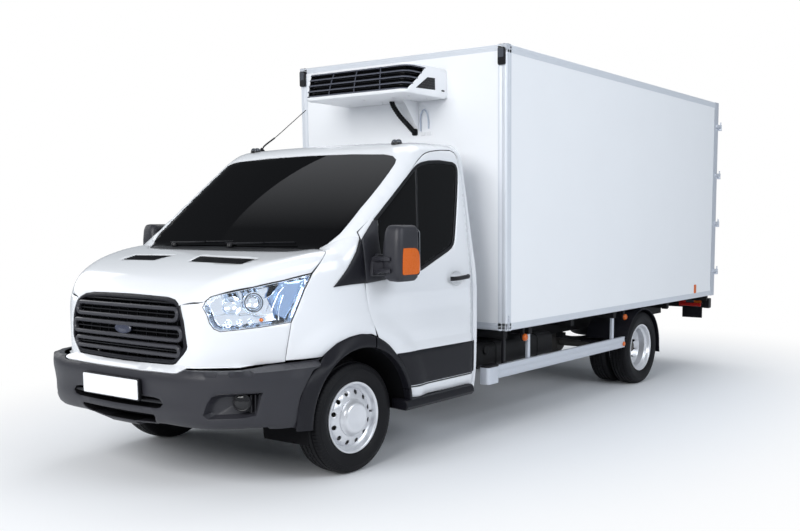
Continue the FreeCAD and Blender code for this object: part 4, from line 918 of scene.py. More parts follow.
# %% Cab shell
DOOR = [(224, 744), (182, 784), (138, 860), (103, 925), (76, 1009), (58, 1120), (52, 1184), (56, 1486), (702, 1950),
        (756, 1984), (800, 2003), (860, 2018), (981, 2034), (1110, 2042), (1150, 2028), (1168, 1990), (1168, 476),
        (440, 476), (432, 540), (400, 604), (372, 664), (334, 700), (300, 708), (262, 724)]
SCREEN = [(0, 612, 2012), (400, 607, 2007), (700, 592, 1994), (795, 577, 1977), (838, 560, 1950), (852, 530, 1922),
          (864, 398, 1810), (866, 174, 1628), (866, -11, 1475), (831, -90, 1411), (806, -122, 1393)]
opening = np.array(DOOR[7:17], float)
shell_edge = np.vstack([hood(SCREEN), hood_side([(50, 1456), (51, 1486)]), hood_side(opening[1:9] + (0, 4)),
                        hood_side([(1173, 1985), (1174, 1400), (1174, 800), (1174, 470), (470, 470), (466, 404),
                                   (800, 402), (1236, 402), (1236, 900), (1236, 1500), (1236, 2000)]),
                        [(600, 1236), (300, 1236), (0, 1236)]])
piece("cab_skin", hood_panel(halved(shell_edge), step=30, thick=42, roll=3), PAINT, "chassis", ("cab_shell",))
rear_line = inset(doubled(HALF_FRONT) * (0.985, 1), 14)
rear_wall = slab(rear_line[rear_line[:, 1] > 330], "y", 1196, 1239, 8)
piece("cab_back", rear_wall, PAINT)
cab_floor = [crate((-925, 925), (470, 1228), (660, 705)), crate((-600, 600), (-60, 480), (660, 705))]
bulkhead = [crate((-600, 600), (-60, -20), (705, 1340)), crate((-760, 760), (-60, -20), (905, 1340))]
piece("cab_floor_and_bulkhead", joined(cab_floor + bulkhead), DEEP)
print("cab shell done")

# %% [markdown]
# Each door is one pressing with its window frame. The glass is black from outside, as deeply tinted glass on a
# dark cab is, and stands a few millimetres inside the frame with a thin black seal round it.

# %% Doors and glass
DOOR_SKIN = DOOR[:13] + [(1100, 2040), (1136, 2024), (1152, 1990), (1160, 1900), (1168, 1800)] + DOOR[16:]
WINDOW = [(209, 1206), (600, 1240), (914, 1359), (950, 1376), (974, 1398), (990, 1428), (1000, 1460), (1122, 1890),
          (1124, 1915), (1112, 1934), (1086, 1944), (939, 1950), (820, 1942), (737, 1926), (692, 1910), (645, 1884),
          (209, 1556)]
door_line = inset(anticlockwise(DOOR_SKIN), 3.0)
window_line = anticlockwise(WINDOW)
DENT = hoop((985, 1158), (72, 0), (0, 50), 24)
door_sheet = panel("side", door_line, [inset(window_line, -14), DENT], thick=40, roll=3)
seal = panel("side", inset(window_line, -12.5), [inset(window_line, 9)], step=30, depth=2.5, thick=12, roll=2)
pane = panel("side", inset(window_line, 7), depth=7, thick=5, roll=1)
bar = panel("side", [(552, 1226), (574, 1234), (684, 1908), (660, 1896)], step=40, depth=4, thick=8, roll=2)
for side, turn in SIDES:
    body = "door_" + side
    piece("door_skin_" + side, turn(door_sheet), PAINT, body, ("door_" + side,))
    piece("window_seal_" + side, turn(joined([seal, bar])), SATIN, body)
    piece("window_" + side, turn(pane), GLASS, body, ("door_glass_" + side,))
SCREEN_FOOT = [(770, -134, 1386), (600, -116, 1386), (300, -112, 1387), (0, -112, 1387)]
screen_edge = anticlockwise(halved(hood(SCREEN + SCREEN_FOOT)))
screen_pane = hood_panel(inset(screen_edge, -12), depth=5, thick=6, roll=1)
piece("windscreen_pane", screen_pane, SCREEN_GLASS, "chassis", ("windscreen",))
shut_seal = panel("side", inset(door_line, -6.5), [inset(door_line, -0.4)], step=24, depth=2, thick=6, roll=0.5)
piece("door_shut_seals", both(shut_seal), RUBBER)
print("doors and glass done")

# %% [markdown]
# The grille is a dark frame that follows the nose, with three loops of lighter bar, each a pair of bars joined
# by a round end, a thin bar inside each loop, fine upright ribs behind and a plain oval boss in the middle.

# %% Grille
BAR = np.array([(-9, -5), (-9, 5), (-5, 9), (5, 9), (9, 5), (9, -5), (5, -9), (-5, -9)], float)


def on_nose(points, depth=0.0):
    """(x, height) places on the nose, depth inside the skin."""
    return on_skin("front", *np.asarray(points, float).T, depth=depth)


def nose_bar(points, depth, width, height, closed=False):
    """Bar along a line on the nose, width and height times the plain bar section."""
    return carried(BAR * (width, height), on_nose(points, depth), up=(0, -1, 0), closed=closed)


mouth = anticlockwise(halved(MOUTH))
frame_ring = panel("front", inset(mouth, 3.5), [inset(mouth, 27)], step=26, depth=1, thick=46, roll=5)
piece("grille_frame", frame_ring, GRAINED, "chassis", ("grille",))
loops, inner_bars = [], []
for top, low, reach in ((1062, 998, 474), (957, 888, 508), (850, 802, 488)):
    r, middle = (top - low) / 2, (top + low) / 2
    t = np.linspace(np.pi / 2, -np.pi / 2, 9)
    end = np.stack([reach - r + r * np.cos(t), middle + r * np.sin(t)], 1)
    straight = np.linspace(0, reach - r, 9)
    run = np.vstack([level(straight[:-1], top), end, level(straight[-2::-1], low)])
    loops.append(nose_bar(np.vstack([run, (run * (-1, 1))[::-1][1:-1]]), 8, 1.3, 1.6, closed=True))
    inner = reach - r * 0.4
    inner_bars.append(nose_bar(level(np.linspace(-inner, inner, 25), middle), 16, 0.4, 0.45))
inner_bars.append(nose_bar(level(np.linspace(-425, 425, 25), 1092), 12, 0.5, 0.5))
ribs = []
for x in range(-450, 451, 90):
    low, top = 770 + max(0, abs(x) - 430) * 0.9, 1108 - max(0, abs(x) - 380) * 0.9
    ribs.append(nose_bar(level(np.linspace(low, top, 9), x)[:, ::-1], 34, 0.3, 0.6))
grey_bar = finish("grille_bar_grey", (0.035, 0.035, 0.042), 0.30, grain=(900, 0.06), dust=(0.9, 0.05))
piece("grille_loops", joined(loops), grey_bar)
piece("grille_bars", joined(inner_bars + ribs), SATIN)
piece("grille_back", panel("front", inset(mouth, 20), step=60, depth=62, thick=6), DEEP)
boss = [on_nose(hoop((0, 930), (a, 0), (0, b), 36), depth) for a, b, depth in
        ((70, 26, 14), (76, 31, 6), (76, 31, 0), (72, 28, -3), (66, 23, -2), (30, 10, -5))]
boss_dark = finish("boss_dark", (0.03, 0.034, 0.06), 0.22, coat=0.6, dust=(0.9, 0.0))
piece("grille_boss", grid(np.stack(boss), wrap_v=True, caps=True), boss_dark)
print("grille bars", len(loops) + len(inner_bars) + len(ribs))

# %% [markdown]
# A headlamp is a bright moulded tray under a clear cover. The tray is a bowl-shaped sheet that sinks from the
# lamp's outline, two round reflectors stand in its upper part with a dark ring round the outer one, a bright
# ridge crosses at three fifths of its height, and small cups for the side lamps lie in the row below.

# %% Sunk trays
def scoop(kind, outline, floor_line, depth, about=0.0, rows=7, lip=0.0, step=16.0, form=cab):
    """Sheet that sinks from an outline on the skin to a floor: the outlines blend while the depth follows a
    quarter of a sine."""
    o, f = along(outline, step), along(floor_line, step, like=outline)
    lines = [on_skin(kind, *between(o, f, k).T, about, lip + (depth - lip) * math.sin(k * math.pi / 2), form)
             for k in np.linspace(0, 1, rows)]
    middle = lines[-1].mean(0)
    lines += [middle + (lines[-1] - middle) * k for k in (0.6, 0.25, 0.02)]
    return np.stack(lines)


def thickened(p, by=4.0):
    """A sheet given as a grid closed round its outline, with a second skin behind it away from its middle."""
    n = np.cross(np.gradient(p, axis=0), np.roll(p, -1, 1) - np.roll(p, 1, 1))
    n /= np.linalg.norm(n, axis=2, keepdims=True) + 1e-9
    n[-1] = n[-2]
    return grid(np.vstack([p, (p - n * by)[::-1]]), wrap_u=True, wrap_v=True)


lamp_line = anticlockwise(lamp_edge)
lamp_middle = lamp_line.mean(0)
lamp_floor = lamp_middle + (inset(lamp_line, 4) - lamp_middle) * (0.90, 0.84)
tray = scoop("wrap", inset(lamp_line, 3), lamp_floor, 62, WRAP, rows=6, lip=5)
cover = wrap_panel(inset(lamp_line, 3), step=16, depth=0.5, thick=2.4, roll=1)
seal_ring = wrap_panel(inset(lamp_line, -1), [inset(lamp_line, 5)], step=26, depth=4, thick=8, roll=1)
piece("headlamp_trays", both(thickened(tray)), CHROME, "chassis", ("front_lamps",))
piece("headlamp_seals", both(seal_ring), SATIN)
piece("headlamp_covers", both(cover), LENS)
print("headlamp tray", tray.shape[:2], "points")

# %% [markdown]
# Reflectors are turned bowls that look out along the car, and the bright ridges between them are thin bars. Both
# are placed by two shares, along the lamp and up it, so that they stay inside its slanting outline.

# %% Reflectors and ridges
def bowl_at(point, aim, radius, deep):
    """Round reflector facing along aim: a paraboloid with a rolled rim."""
    axis = np.array(aim, float)
    axis /= np.linalg.norm(axis)
    side = np.cross(axis, (0, 0, 1))
    side /= np.linalg.norm(side)
    up = np.cross(side, axis)
    radii = radius * np.array([0.12, 0.35, 0.6, 0.8, 0.94, 1.0, 1.06, 1.06, 0.9, 0.5, 0.12])
    depths = deep * np.array([1.0, 0.9, 0.66, 0.38, 0.12, 0.0, 0.03, 0.3, 0.75, 1.05, 1.12])
    rings = [hoop(np.asarray(point, float) - axis * d, side * r, up * r, 40) for r, d in zip(radii, depths)]
    return grid(np.stack(rings), wrap_v=True, caps=True)


def on_lamp(a, b, depth):
    """Place inside the lamp: a runs from its inner end to its outer tip, b from its lower to its upper edge."""
    low = wrap([(650, -838, 1000), (694, -798, 943), (823, -599, 958), (892, -453, 975)])
    top = wrap([(640, -838, 1110), (692, -787, 1149), (799, -642, 1183), (876, -489, 1215)])
    at = (0.0, 0.18, 0.66, 1.0)
    u, v = (between(np.interp(a, at, low[:, k]), np.interp(a, at, top[:, k]), b) for k in (0, 1))
    return on_skin("wrap", np.array([u]), np.array([v]), WRAP, depth)[0]


def lamp_strip(places, depth):
    """Raised bright strip through (a, b) places of the lamp."""
    line = smooth_path([on_lamp(a, b, depth) for a, b in places], 4)
    return carried([(-5, -1.5), (5, -1.5), (6, 0), (5, 1.5), (-5, 1.5), (-6, 0)], line)


AHEAD, ASIDE = (0.55, -1.0, 0.02), (0.7, -0.8, 0.02)
bright = [bowl_at(on_lamp(a, b, depth), aim, radius, deep) for a, b, depth, aim, radius, deep in
          ((0.34, 0.62, 26, AHEAD, 50, 34), (0.62, 0.62, 26, ASIDE, 56, 34), (0.27, 0.17, 22, AHEAD, 20, 14),
           (0.40, 0.16, 22, AHEAD, 17, 12), (0.53, 0.15, 20, (0.7, -0.8, 0), 17, 12))]
ridge = [(a, 0.34 + 0.10 * math.sin(a * 5.5)) for a in np.linspace(0.10, 0.80, 20)[::3]]
bright += [lamp_strip(ridge, 12), lamp_strip([(0.80, 0.36), (0.86, 0.55), (0.92, 0.72), (0.99, 0.84)], 10),
           lamp_strip([(0.86, 0.10), (0.90, 0.40), (0.97, 0.66)], 12),
           lamp_strip([(0.70, 0.93), (0.82, 0.93), (0.94, 0.93)], 8)]
piece("headlamp_bowls", both(joined(bright)), CHROME)
dark_ring = hoop(on_lamp(0.62, 0.62, 14), (0, 0, 52), (-40, -30, 0), 36)
piece("headlamp_rings", both(carried(ring_of(2.6, 6), dark_ring, up=(0.6, -0.8, 0), closed=True)), SATIN)
blue = finish("tinted_reflector", (0.36, 0.50, 0.74), 0.14, metal=0.9, grain=(200, 0.03), dust=(0.1, 0))
corner = anticlockwise(wrap([(880, -470, 985), (900, -425, 1072), (918, -388, 1150), (929, -345, 1225),
                             (868, -505, 1203), (838, -565, 1120), (862, -525, 1010)]))
piece("headlamp_corners", both(wrap_panel(inset(corner, 8), step=18, depth=30, thick=3)), blue)
bulb = bowl_at(on_lamp(0.66, 0.17, 12), (0.7, -0.8, 0), 11, -12)
piece("indicator_bulbs", both(bulb), finish("amber_bulb", (0.9, 0.22, 0.03), 0.2, coat=0.5, dust=(0.1, 0)))
print("headlamps done")

# %% [markdown]
# The bumper is one grained moulding that wraps from arch to arch. A soft roll under its top edge catches the
# light, a grained pocket holds each fog lamp with upright ribs beside it, and two slots in the middle feed the
# radiator.

# %% Bumper
def bumper_form(x, y, z):
    """The cab's skin with the bumper's own pressings: a roll below the top edge, a hollow under it and corners
    that draw in towards their foot."""
    x = np.abs(x)
    body = cab(x, y, z)
    swing = np.arctan2(x, WRAP - y)
    crease = 655 - 25 * np.clip(swing / 1.2, 0, 1)
    body = body - 4 * swell(z, crease + 30, 60)
    hollow = np.clip((swing - 0.12) / 0.3, 0, 1) * np.clip((1.2 - swing) / 0.2, 0, 1)
    body = body + 6 * swell(z, crease - 85, 90) * hollow
    corner = np.clip((swing - 0.15) / 0.3, 0, 1) * np.clip((1.25 - swing) / 0.3, 0, 1)
    return body + 60 * corner * np.clip((520 - z) / 190, 0, 1) ** 1.5


def on_bumper(line, depth):
    """Places on the bumper's own form from wrap coordinates."""
    return on_skin("wrap", *line.T, WRAP, depth, bumper_form)


POCKET = [(753, -918, 599), (792, -892, 613), (870, -810, 614), (935, -714, 610), (928, -730, 555), (917, -750, 483),
          (888, -796, 474), (800, -875, 471), (724, -933, 469), (702, -943, 491), (712, -938, 522), (726, -932, 560)]
SLOT = [(0, -1020, 570), (360, -1008, 567), (405, -1002, 560), (430, -998, 535), (405, -1002, 512), (370, -1008, 505),
        (0, -1020, 502)]
LIP_SLOT = [(0, -1010, 466), (340, -1000, 466), (352, -1000, 452), (330, -1000, 404), (0, -1010, 402)]
shelf_line = wrap(SHELF) - (0, 5)
BUMPER_END = [(1006, -414, 700), (1020, -462, 643), (1016, -510, 560), (1008, -525, 493), (1003, -520, 430),
              (992, -530, 345), (930, -700, 322), (760, -905, 318), (560, -965, 330), (400, -1000, 338),
              (0, -1008, 342)]
bumper_edge = np.vstack([shelf_line, wrap(BUMPER_END)])
pocket = wrap(POCKET)
slot_line = halved(wrap(SLOT))
lip_line = halved(wrap(LIP_SLOT))
bumper_holes = [pocket, pocket * (-1, 1), slot_line, lip_line]
bumper_sheet = wrap_panel(halved(bumper_edge), bumper_holes, step=20, thick=9, roll=3.5, form=bumper_form)
piece("bumper_skin", bumper_sheet, BUMPER, "chassis", ("bumper",))
pocket = anticlockwise(pocket)
pocket_floor = pocket.mean(0) + (10, -2) + (pocket - pocket.mean(0)) * (0.62, 0.66)
pocket_sheet = scoop("wrap", inset(pocket, -2), pocket_floor, 62, WRAP, rows=8, lip=4, form=bumper_form)
piece("fog_pockets", both(thickened(pocket_sheet)), BUMPER)
slot_back, lip_back = (wrap_panel(line * (1.01, 1), depth=depth, thick=6, step=40, form=bumper_form)
                       for line, depth in ((slot_line, 52), (lip_line, 44)))
bar_line = on_skin("front", *level(np.linspace(-415, 415, 31), 541).T, depth=16, form=bumper_form)
slot_walls = []
for line in (slot_line, lip_line):
    slot_walls.append(thickened(np.stack([on_bumper(along(line, 20), d) for d in (3, 20, 50)]), 3))
piece("intake_backs", joined([slot_back, lip_back] + slot_walls), DEEP)
piece("intake_bar", carried(BAR * (1.0, 0.7), bar_line, up=(0, -1, 0)), SATIN)
ribs = []
for k, (px, py) in enumerate(((905, -765), (917, -744), (929, -722))):
    low, high = wrap([(px, py, 500 + 6 * k), (px, py, 600)])
    line = on_bumper(between(low, high, np.linspace(0, 1, 7)[:, None]), 24)
    ribs.append(carried(rectangle((-3, 3), (-16, 16)), line, up=(0.5, -0.86, 0)))
fog_aim, fog_side = np.array((0.55, -0.83, 0)), np.array((0.83, 0.55, 0))
fog_at = np.array((868, -822, 559)) - fog_aim * 34
housing = carried(ring_of(6, 8), hoop(fog_at, fog_side * 47, (0, 0, 47), 32), up=fog_aim, closed=True)
piece("fog_ribs", both(joined(ribs + [housing])), SATIN)
dark_metal = finish("dark_reflector", (0.13, 0.14, 0.16), 0.2, metal=0.8, dust=(0.9, 0))
piece("fog_reflectors", both(bowl_at(fog_at, fog_aim, 44, 40)), dark_metal)
fog_dome = [hoop(fog_at + fog_aim * d, fog_side * r, (0, 0, r), 32)
            for r, d in ((43, -2), (43, 3), (38, 7), (22, 11), (6, 13), (0.4, 13))]
piece("fog_lenses", both(grid(np.stack(fog_dome), wrap_v=True, caps=True)),
      clear("fog_glass", (0.02, 0.02, 0.022), 0.03, through=0.35, ior=1.4))
print("bumper", len(bumper_sheet[0]), "points")

# %% [markdown]
# The plate is left blank. A dark carrier with round corners holds it just clear of the bumper's face.

# %% Plate
plate = slab(round_box((-260, 260), (546, 660), 8), "y", -1034, -1030, 1)
back = slab(round_box((-268, 268), (540, 666), 10), "y", -1030, -1014, 1)
piece("front_plate", plate, PLATE)
piece("front_plate_carrier", back, SATIN)
print("plate", np.ptp(plate[0], axis=0), "mm")

# %% [markdown]
# Black mouldings run round the front arches and along the doors, proud of the paint by the thickness of the
# plastic. The arch moulding flares outwards towards its inner edge, as a splash guard does.

# %% Arch mouldings and cladding
RISE = [(76.6, 511, 1020), (90, 525, 1018), (111, 521, 996), (120, 508, 978), (126, 502, 984), (131, 510, 1006),
        (147, 549, 1013), (164, 545, 1006), (176, 532, 1000), (183, 526, 996)]
FALL = [(16.5, 470, 1030), (30, 474, 1029), (48, 481, 1024), (60, 499, 1018), (75.2, 512, 1020)]


def arch_loft(table, low, high):
    """Moulding round the front wheel. At each angle its outer rim lies at the tabled radius and width, and a
    quarter-round crown rises from there to the lip at 441 mm."""
    a = np.linspace(low, high, max(3, int(abs(high - low) / 2.5) + 1))
    rows = np.array(sorted(table), float)
    r_out, x_out = np.interp(a, rows[:, 0], rows[:, 1]), np.interp(a, rows[:, 0], rows[:, 2])
    lip = 1039.0
    cross = [(r_out, x_out - 8), (r_out, x_out + 2), (r_out - 5, x_out + 8)]
    cross += [(between(r_out - 5, 449, k), between(x_out + 8, lip, math.sin(k * math.pi / 2)))
              for k in np.linspace(0, 1, 7)[1:-1]]
    cross += [(449, lip), (442, lip - 4), (441, lip - 12), (441, 985), (455, 985)]
    return grid(np.stack([round_axle(x, r, np.radians(a)) for r, x in cross], 1), wrap_v=True, caps=True)


arch_sheet = arch_loft(RISE, 76.6, 178)
arch_foot = arch_loft([(5, 468, 1026), (17, 469, 1029)], 6.5, 15.6)
door_arch = arch_loft(FALL, 16.5, 75.2)
flat_edge = [(428, 484), (1164, 482), (1164, 708), (322, 712), (352, 664), (382, 600), (408, 540)]
flat_part = panel("side", flat_edge, step=22, depth=-3, thick=14, roll=4)
STEP = [(905, 334), (905, 398), (1014, 399), (1030, 392), (1039, 372), (1040, 350), (1020, 328)]
step_board = slab(STEP, "y", 400, 1148, 6)
treads = [crate((930, 1012), (y, y + 14), (398, 402), 1) for y in range(440, 1120, 34)]
a = np.linspace(-0.05, np.pi + 0.18, 40)
liner = np.stack([round_axle(x, r, a) for x, r in ((640, 443), (1000, 443), (1000, 453), (640, 462))], 1)
corner = panel("side", [(1172, 483), (1230, 488), (1230, 704), (1172, 707)], step=22, depth=-3, thick=10, roll=4)
piece("arch_mouldings", both(joined([arch_sheet, arch_foot, step_board, corner] + treads)), GRAINED, "chassis",
      ("cab_mouldings",))
piece("arch_liners", both(grid(liner, wrap_v=True, caps=True)), DEEP)
for side, turn in SIDES:
    piece("door_cladding_" + side, turn(joined([door_arch, flat_part])), GRAINED, "door_" + side,
          ("door_trim_" + side,))
print("mouldings done")

# %% [markdown]
# A black sail fills the corner between wing and door and carries the mirror. The mirror's head is a rounded
# shell that leans back at its top, with an amber repeater down its outer front corner, and hangs on two arms.
# The shell is a stack of rounded rectangles whose size, place and depth change with height. The door's pull
# bridges a shallow dish that is pressed into the door, so that a gloved hand fits behind it.

# %% Sails and mirrors
wing_sail = hood_panel(hood_side([(-200, 1160), (-100, 1254), (0, 1366), (49, 1448), (49, 1300), (47, 1172)]),
                       step=22, depth=-9, thick=9, roll=3)
door_sail = panel("side", [(54, 1174), (170, 1182), (262, 1190), (232, 1240), (214, 1300), (206, 1420), (206, 1552),
                           (180, 1556), (54, 1440)], step=22, depth=-9, thick=9, roll=3)
piece("wing_sails", both(wing_sail), GRAINED)


HEAD = [(1183, (1148, 1192), (152, 252), 22), (1188, (1116, 1222), (126, 282), 34),
        (1206, (1097, 1236), (108, 298), 40), (1250, (1090, 1242), (98, 304), 44),
        (1330, (1090, 1243), (92, 304), 44), (1410, (1096, 1243), (94, 304), 44),
        (1480, (1104, 1240), (102, 302), 42), (1508, (1112, 1234), (112, 296), 36),
        (1522, (1122, 1224), (124, 286), 28), (1527, (1138, 1208), (142, 270), 20)]
head = [np.insert(round_box(x, y, radius, 8), 2, z, 1) for z, x, y, radius in HEAD]
head = grid(np.stack(head), wrap_v=True, caps=True)
ARM = [(-13, -7), (-8, -12), (8, -12), (13, -7), (13, 7), (8, 12), (-8, 12), (-13, 7)]
arms = []
for z0, z1 in ((1238, 1252), (1312, 1322)):
    line = [(1012, 128, z0), (1050, 112, z0 + 2), (1096, 94, z1), (1150, 88, z1), (1176, 92, z1)]
    arms.append(carried(ARM, smooth_path(line, 5)))
bridge = crate((1010, 1102), (108, 150), (1232, 1336), 9)
foot = slab([(88, 1215), (235, 1212), (226, 1345), (150, 1352), (100, 1300)], "x", 1004, 1030, 7)
mirror_glass = slab(round_box((1108, 1232), (1216, 1500), 24), "y", 303, 306.5, 1)
amber = []
for z, start, back in ((1228, -3, 255), (1234, -8, 275), (1246, -12, 284), (1290, -13, 286), (1340, -12, 284),
                       (1366, -8, 275), (1382, -4, 258), (1388, -2, 236)):
    t = np.radians(np.linspace(start, 0, 10))
    arc = [np.array((1199 + r * np.cos(t), 137 + r * np.sin(t))).T for r in (46.5, 36)]
    row = np.vstack([arc[0], [(1245.5, back), (1235, back)], arc[1][::-1]])
    amber.append(np.insert(row, 2, z, 1))
amber = grid(np.stack(amber), wrap_v=True, caps=True)
PULL = [(1030, 886, 1160), (1050, 900, 1161), (1056, 930, 1162), (1057, 985, 1165), (1055, 1040, 1168),
        (1046, 1072, 1169), (1030, 1082, 1170)]
GRIP = [(-11, -12), (-3, -15), (6, -14), (12, -5), (12, 8), (4, 15), (-6, 13), (-11, 6)]
handle = carried(GRIP, smooth_path(PULL, 5))
dent_floor = DENT.mean(0) + (DENT - DENT.mean(0)) * 0.45
dent_sheet = scoop("side", inset(DENT, 0.5), dent_floor, 26, rows=7, step=9, lip=1)
for side, turn in SIDES:
    body = "door_" + side
    piece("mirror_" + side, turn(joined([door_sail, head, foot, bridge] + arms)), BUMPER, body)
    piece("mirror_glass_" + side, turn(mirror_glass), MIRROR, body)
    piece("repeater_" + side, turn(amber), AMBER, body)
    piece("door_pull_" + side, turn(handle), SATIN, body)
    piece("door_dent_" + side, turn(thickened(dent_sheet, 2)), PAINT, body)
print("mirrors done")

# %% [markdown]
# Two wipers park along the foot of the windscreen, each an arm on a domed pivot with a slim blade.

# %% Wipers, roof lamps and aerial
def on_roof(x, y, lift=0.0):
    """Places over the cab at x and y, lift above its skin."""
    return on_skin("top", np.asarray(x, float), np.asarray(y, float), depth=-lift)


def dome(at, a, b, levels):
    """Oval dome at a place: at each (share, height) of levels, an oval of half axes a and b times the share."""
    rings = [hoop(at + (0, 0, h), (a * s, 0, 0), (0, b * s, 0), 24) for s, h in levels]
    return grid(np.stack(rings), wrap_v=True, caps=True)


wipers = []
for px in (-555.0, 8.0):
    start = on_roof([px], [-128], 12)[0]
    wipers.append(lathe([(-14, 0.5), (-14, 20), (0, 20), (8, 15), (11, 6), (12, 0.5)], start, "z", 24, closed=False))
    arm = on_roof(np.linspace(px, px + 300, 8), np.linspace(-128, -112, 8), 16)
    wipers.append(carried([(-7, -3), (7, -3), (6, 4), (-6, 4)], arm))
    blade = on_roof(np.linspace(px - 60, px + 560, 24), np.linspace(-112, -96, 24), 9)
    wipers.append(carried([(-2, -7), (2, -7), (6, 2), (3, 6), (-3, 6), (-6, 2)], blade))
piece("wipers", joined(wipers), SATIN)
roof, roof_feet = [], []
for x in (-693.0, 693.0):
    spot = on_roof([x], [738])[0]
    for dx, half in ((-17, 20), (19, 16)):
        lens = [(0.96, 2), (1, 8), (0.93, 17), (0.7, 25), (0.35, 29), (0.02, 30)]
        roof.append(dome(spot + (dx, 0, 0), half, 26, lens))
    roof_feet.append(dome(spot, 42, 34, [(0.98, -12), (1, 3), (0.96, 7), (0.8, 9)]))
piece("roof_lamps", joined(roof), SMOKED)
piece("roof_lamp_feet", joined(roof_feet), SATIN)
MAST = [(-700, 816, 2096), (-700, 836, 2124), (-700, 961, 2204), (-700, 1120, 2318), (-700, 1278, 2432)]
mast = smooth_path(MAST, 6)
base = on_roof([-700], [806])[0]
aerial = [lathe([(-10, 0.5), (-10, 26), (4, 24), (14, 14), (26, 8), (28, 0.5)], base, "z", 24, closed=False),
          carried(ring_of(3.2, 8), mast), carried(ring_of(6, 10), mast[3:12])]
piece("aerial", joined(aerial), SATIN)
print("roof pieces done")

# %% [markdown]
# The load body is flat insulated panels held by aluminium corner profiles. The panels are slightly dished at
# their edges by their bonding, and each profile is a rounded angle with a groove, so neither is a sharp box.
# Profiles are carried along the edges of the body and panels are slabs with a soft rim.

# %% Load body
edge_box = node_box("box_edge_trims")
X, Y0, Y1, Z0, Z1 = edge_box[1][0], edge_box[0][1], edge_box[1][1], edge_box[0][2], edge_box[1][2]
print("load body", X, Y0, Y1, Z0, Z1)
side_wall = slab(rectangle((Y0 + 20, Y1 - 6), (Z0 + 14, Z1 - 20)), "x", X - 62, X - 2.5, 2)
piece("box_side_panels", both(side_wall), PANEL, "chassis", ("box_side_walls",))
front_wall = slab(rectangle((-X + 20, X - 20), (Z0 + 14, Z1 - 20)), "y", Y0 + 2.5, Y0 + 62, 2)
piece("box_front_panel", front_wall, PANEL, "chassis", ("box_front_wall",))
roof_panel = slab(rectangle((-X + 40, X - 40), (Y0 + 40, Y1 - 6)), "z", Z1 - 80, Z1 - 3, 2)
piece("box_roof_panel", roof_panel, PANEL, "chassis", ("box_roof",))


def angle_profile(width, other):
    """Outline of a rounded angle with a shallow groove along each flange: corner at the origin, flanges along
    minus the first and minus the second axis."""
    thick, radius = 5.0, 14.0
    t = np.linspace(0, np.pi / 2, 7)
    corner = np.stack([-radius + radius * np.cos(t), -radius + radius * np.sin(t)], 1)
    groove = [(0.62, 0), (0.59, -1.6), (0.55, -1.6), (0.52, 0)]
    return np.array([(0, -other), (0, -other + 3)] + [(by, -other * share) for share, by in groove] + corner.tolist()
                    + [(-width * share, by) for share, by in groove[::-1]]
                    + [(-width, 0), (-width, -thick), (-thick, -thick), (-thick, -other)])


def edge_run(profile, start, end, ax, ay):
    """Straight extrusion of a profile whose axes are ax and ay."""
    pr = np.asarray(profile, float)
    section = pr[:, :1] * np.asarray(ax, float) + pr[:, 1:] * np.asarray(ay, float)
    p = np.stack([np.asarray(q, float) + section for q in (start, end)])
    return grid(p, wrap_v=True, caps=True)


RAIL_W = 56.0                                   # height of the low rail
corner_post = edge_run(angle_profile(76, 62), (X, Y0, Z0), (X, Y0, Z1), (1, 0, 0), (0, -1, 0))
top_rail = edge_run(angle_profile(62, 60), (X, Y0, Z1), (X, Y1, Z1), (1, 0, 0), (0, 0, 1))
front_top = edge_run(angle_profile(50, 46), (-X, Y0, Z1), (X, Y0, Z1), (0, -1, 0), (0, 0, 1))
low_rail = edge_run(angle_profile(40, RAIL_W), (X, Y0, Z0), (X, Y1, Z0), (1, 0, 0), (0, 0, -1))
front_low = edge_run(angle_profile(40, RAIL_W), (-X, Y0, Z0), (X, Y0, Z0), (0, -1, 0), (0, 0, -1))
piece("box_profiles", joined([both(corner_post), both(top_rail), both(low_rail), front_top, front_low]), PROFILE,
      "chassis", ("box_edge_trims",))
caps = [crate((X - 50, X + 1.5), (Y0 - 1.5, Y0 + 46), (Z1 - 46, Z1 + 1.5), 5)]
latch = [crate((X, X + 7), (Y0 + 20, Y0 + 34), (Z0 + 20, Z0 + 95), 2),
         lathe([(-6, 0.5), (-6, 7), (6, 7), (8, 4), (8, 0.5)], (X + 4, Y0 + 27, Z0 + 110), "x", 16, closed=False)]
piece("box_corner_caps", both(joined(caps + latch)), ALLOY)
badge = slab([(4606, 2574), (4690, 2574), (4722, 2650), (4640, 2650)], "x", X - 4, X - 3.2, 0.2)
piece("box_decal_plain", badge, finish("grey_foil", (0.42, 0.44, 0.50), 0.4, dust=(1.0, 0.0)))
print("box done")

# %% [markdown]
# The cooling unit is a white moulded housing that hangs over the cab. Its front is one wide mouth with four long
# louvres and three upright webs, and the louvres turn the left corner and stop at a slanting edge on the flank.
# The shell is cut from a rounded form like the cab's panels, so the mouth's edge follows every curve, and shallow
# trays close it above and below.

# %% Cooling unit: form and shell
cool = node_box("cooler_housing")
BACK, END, TOP = cool[1][1], cool[1][0], cool[1][2]
FLOOR_Z, ROOF_Z = TOP - 252, TOP - 54


def cooler_form(x, y, z):
    """Signed distance to the housing: its front leans back by 46 mm over its height, and its front corners are
    rounded where the distances to front and flank agree."""
    depth, lean = 499.0, 46.0
    rise = np.clip((z - FLOOR_Z) / (ROOF_Z - FLOOR_Z), 0, 1)
    front = BACK - depth + lean * rise**1.6 - y
    return np.maximum(round_max(np.abs(x) - END, front, 70.0), y - BACK)


def cooler(points):
    """Places in space as the housing's own coordinates: an angle about the wall's middle line and a height."""
    return coords("wrap", np.asarray(points, float), BACK)


def on_cooler(line, depth=0.0):
    """Places on the housing from its own coordinates, depth inside it."""
    return on_skin("wrap", *line.T, BACK, depth, cooler_form)


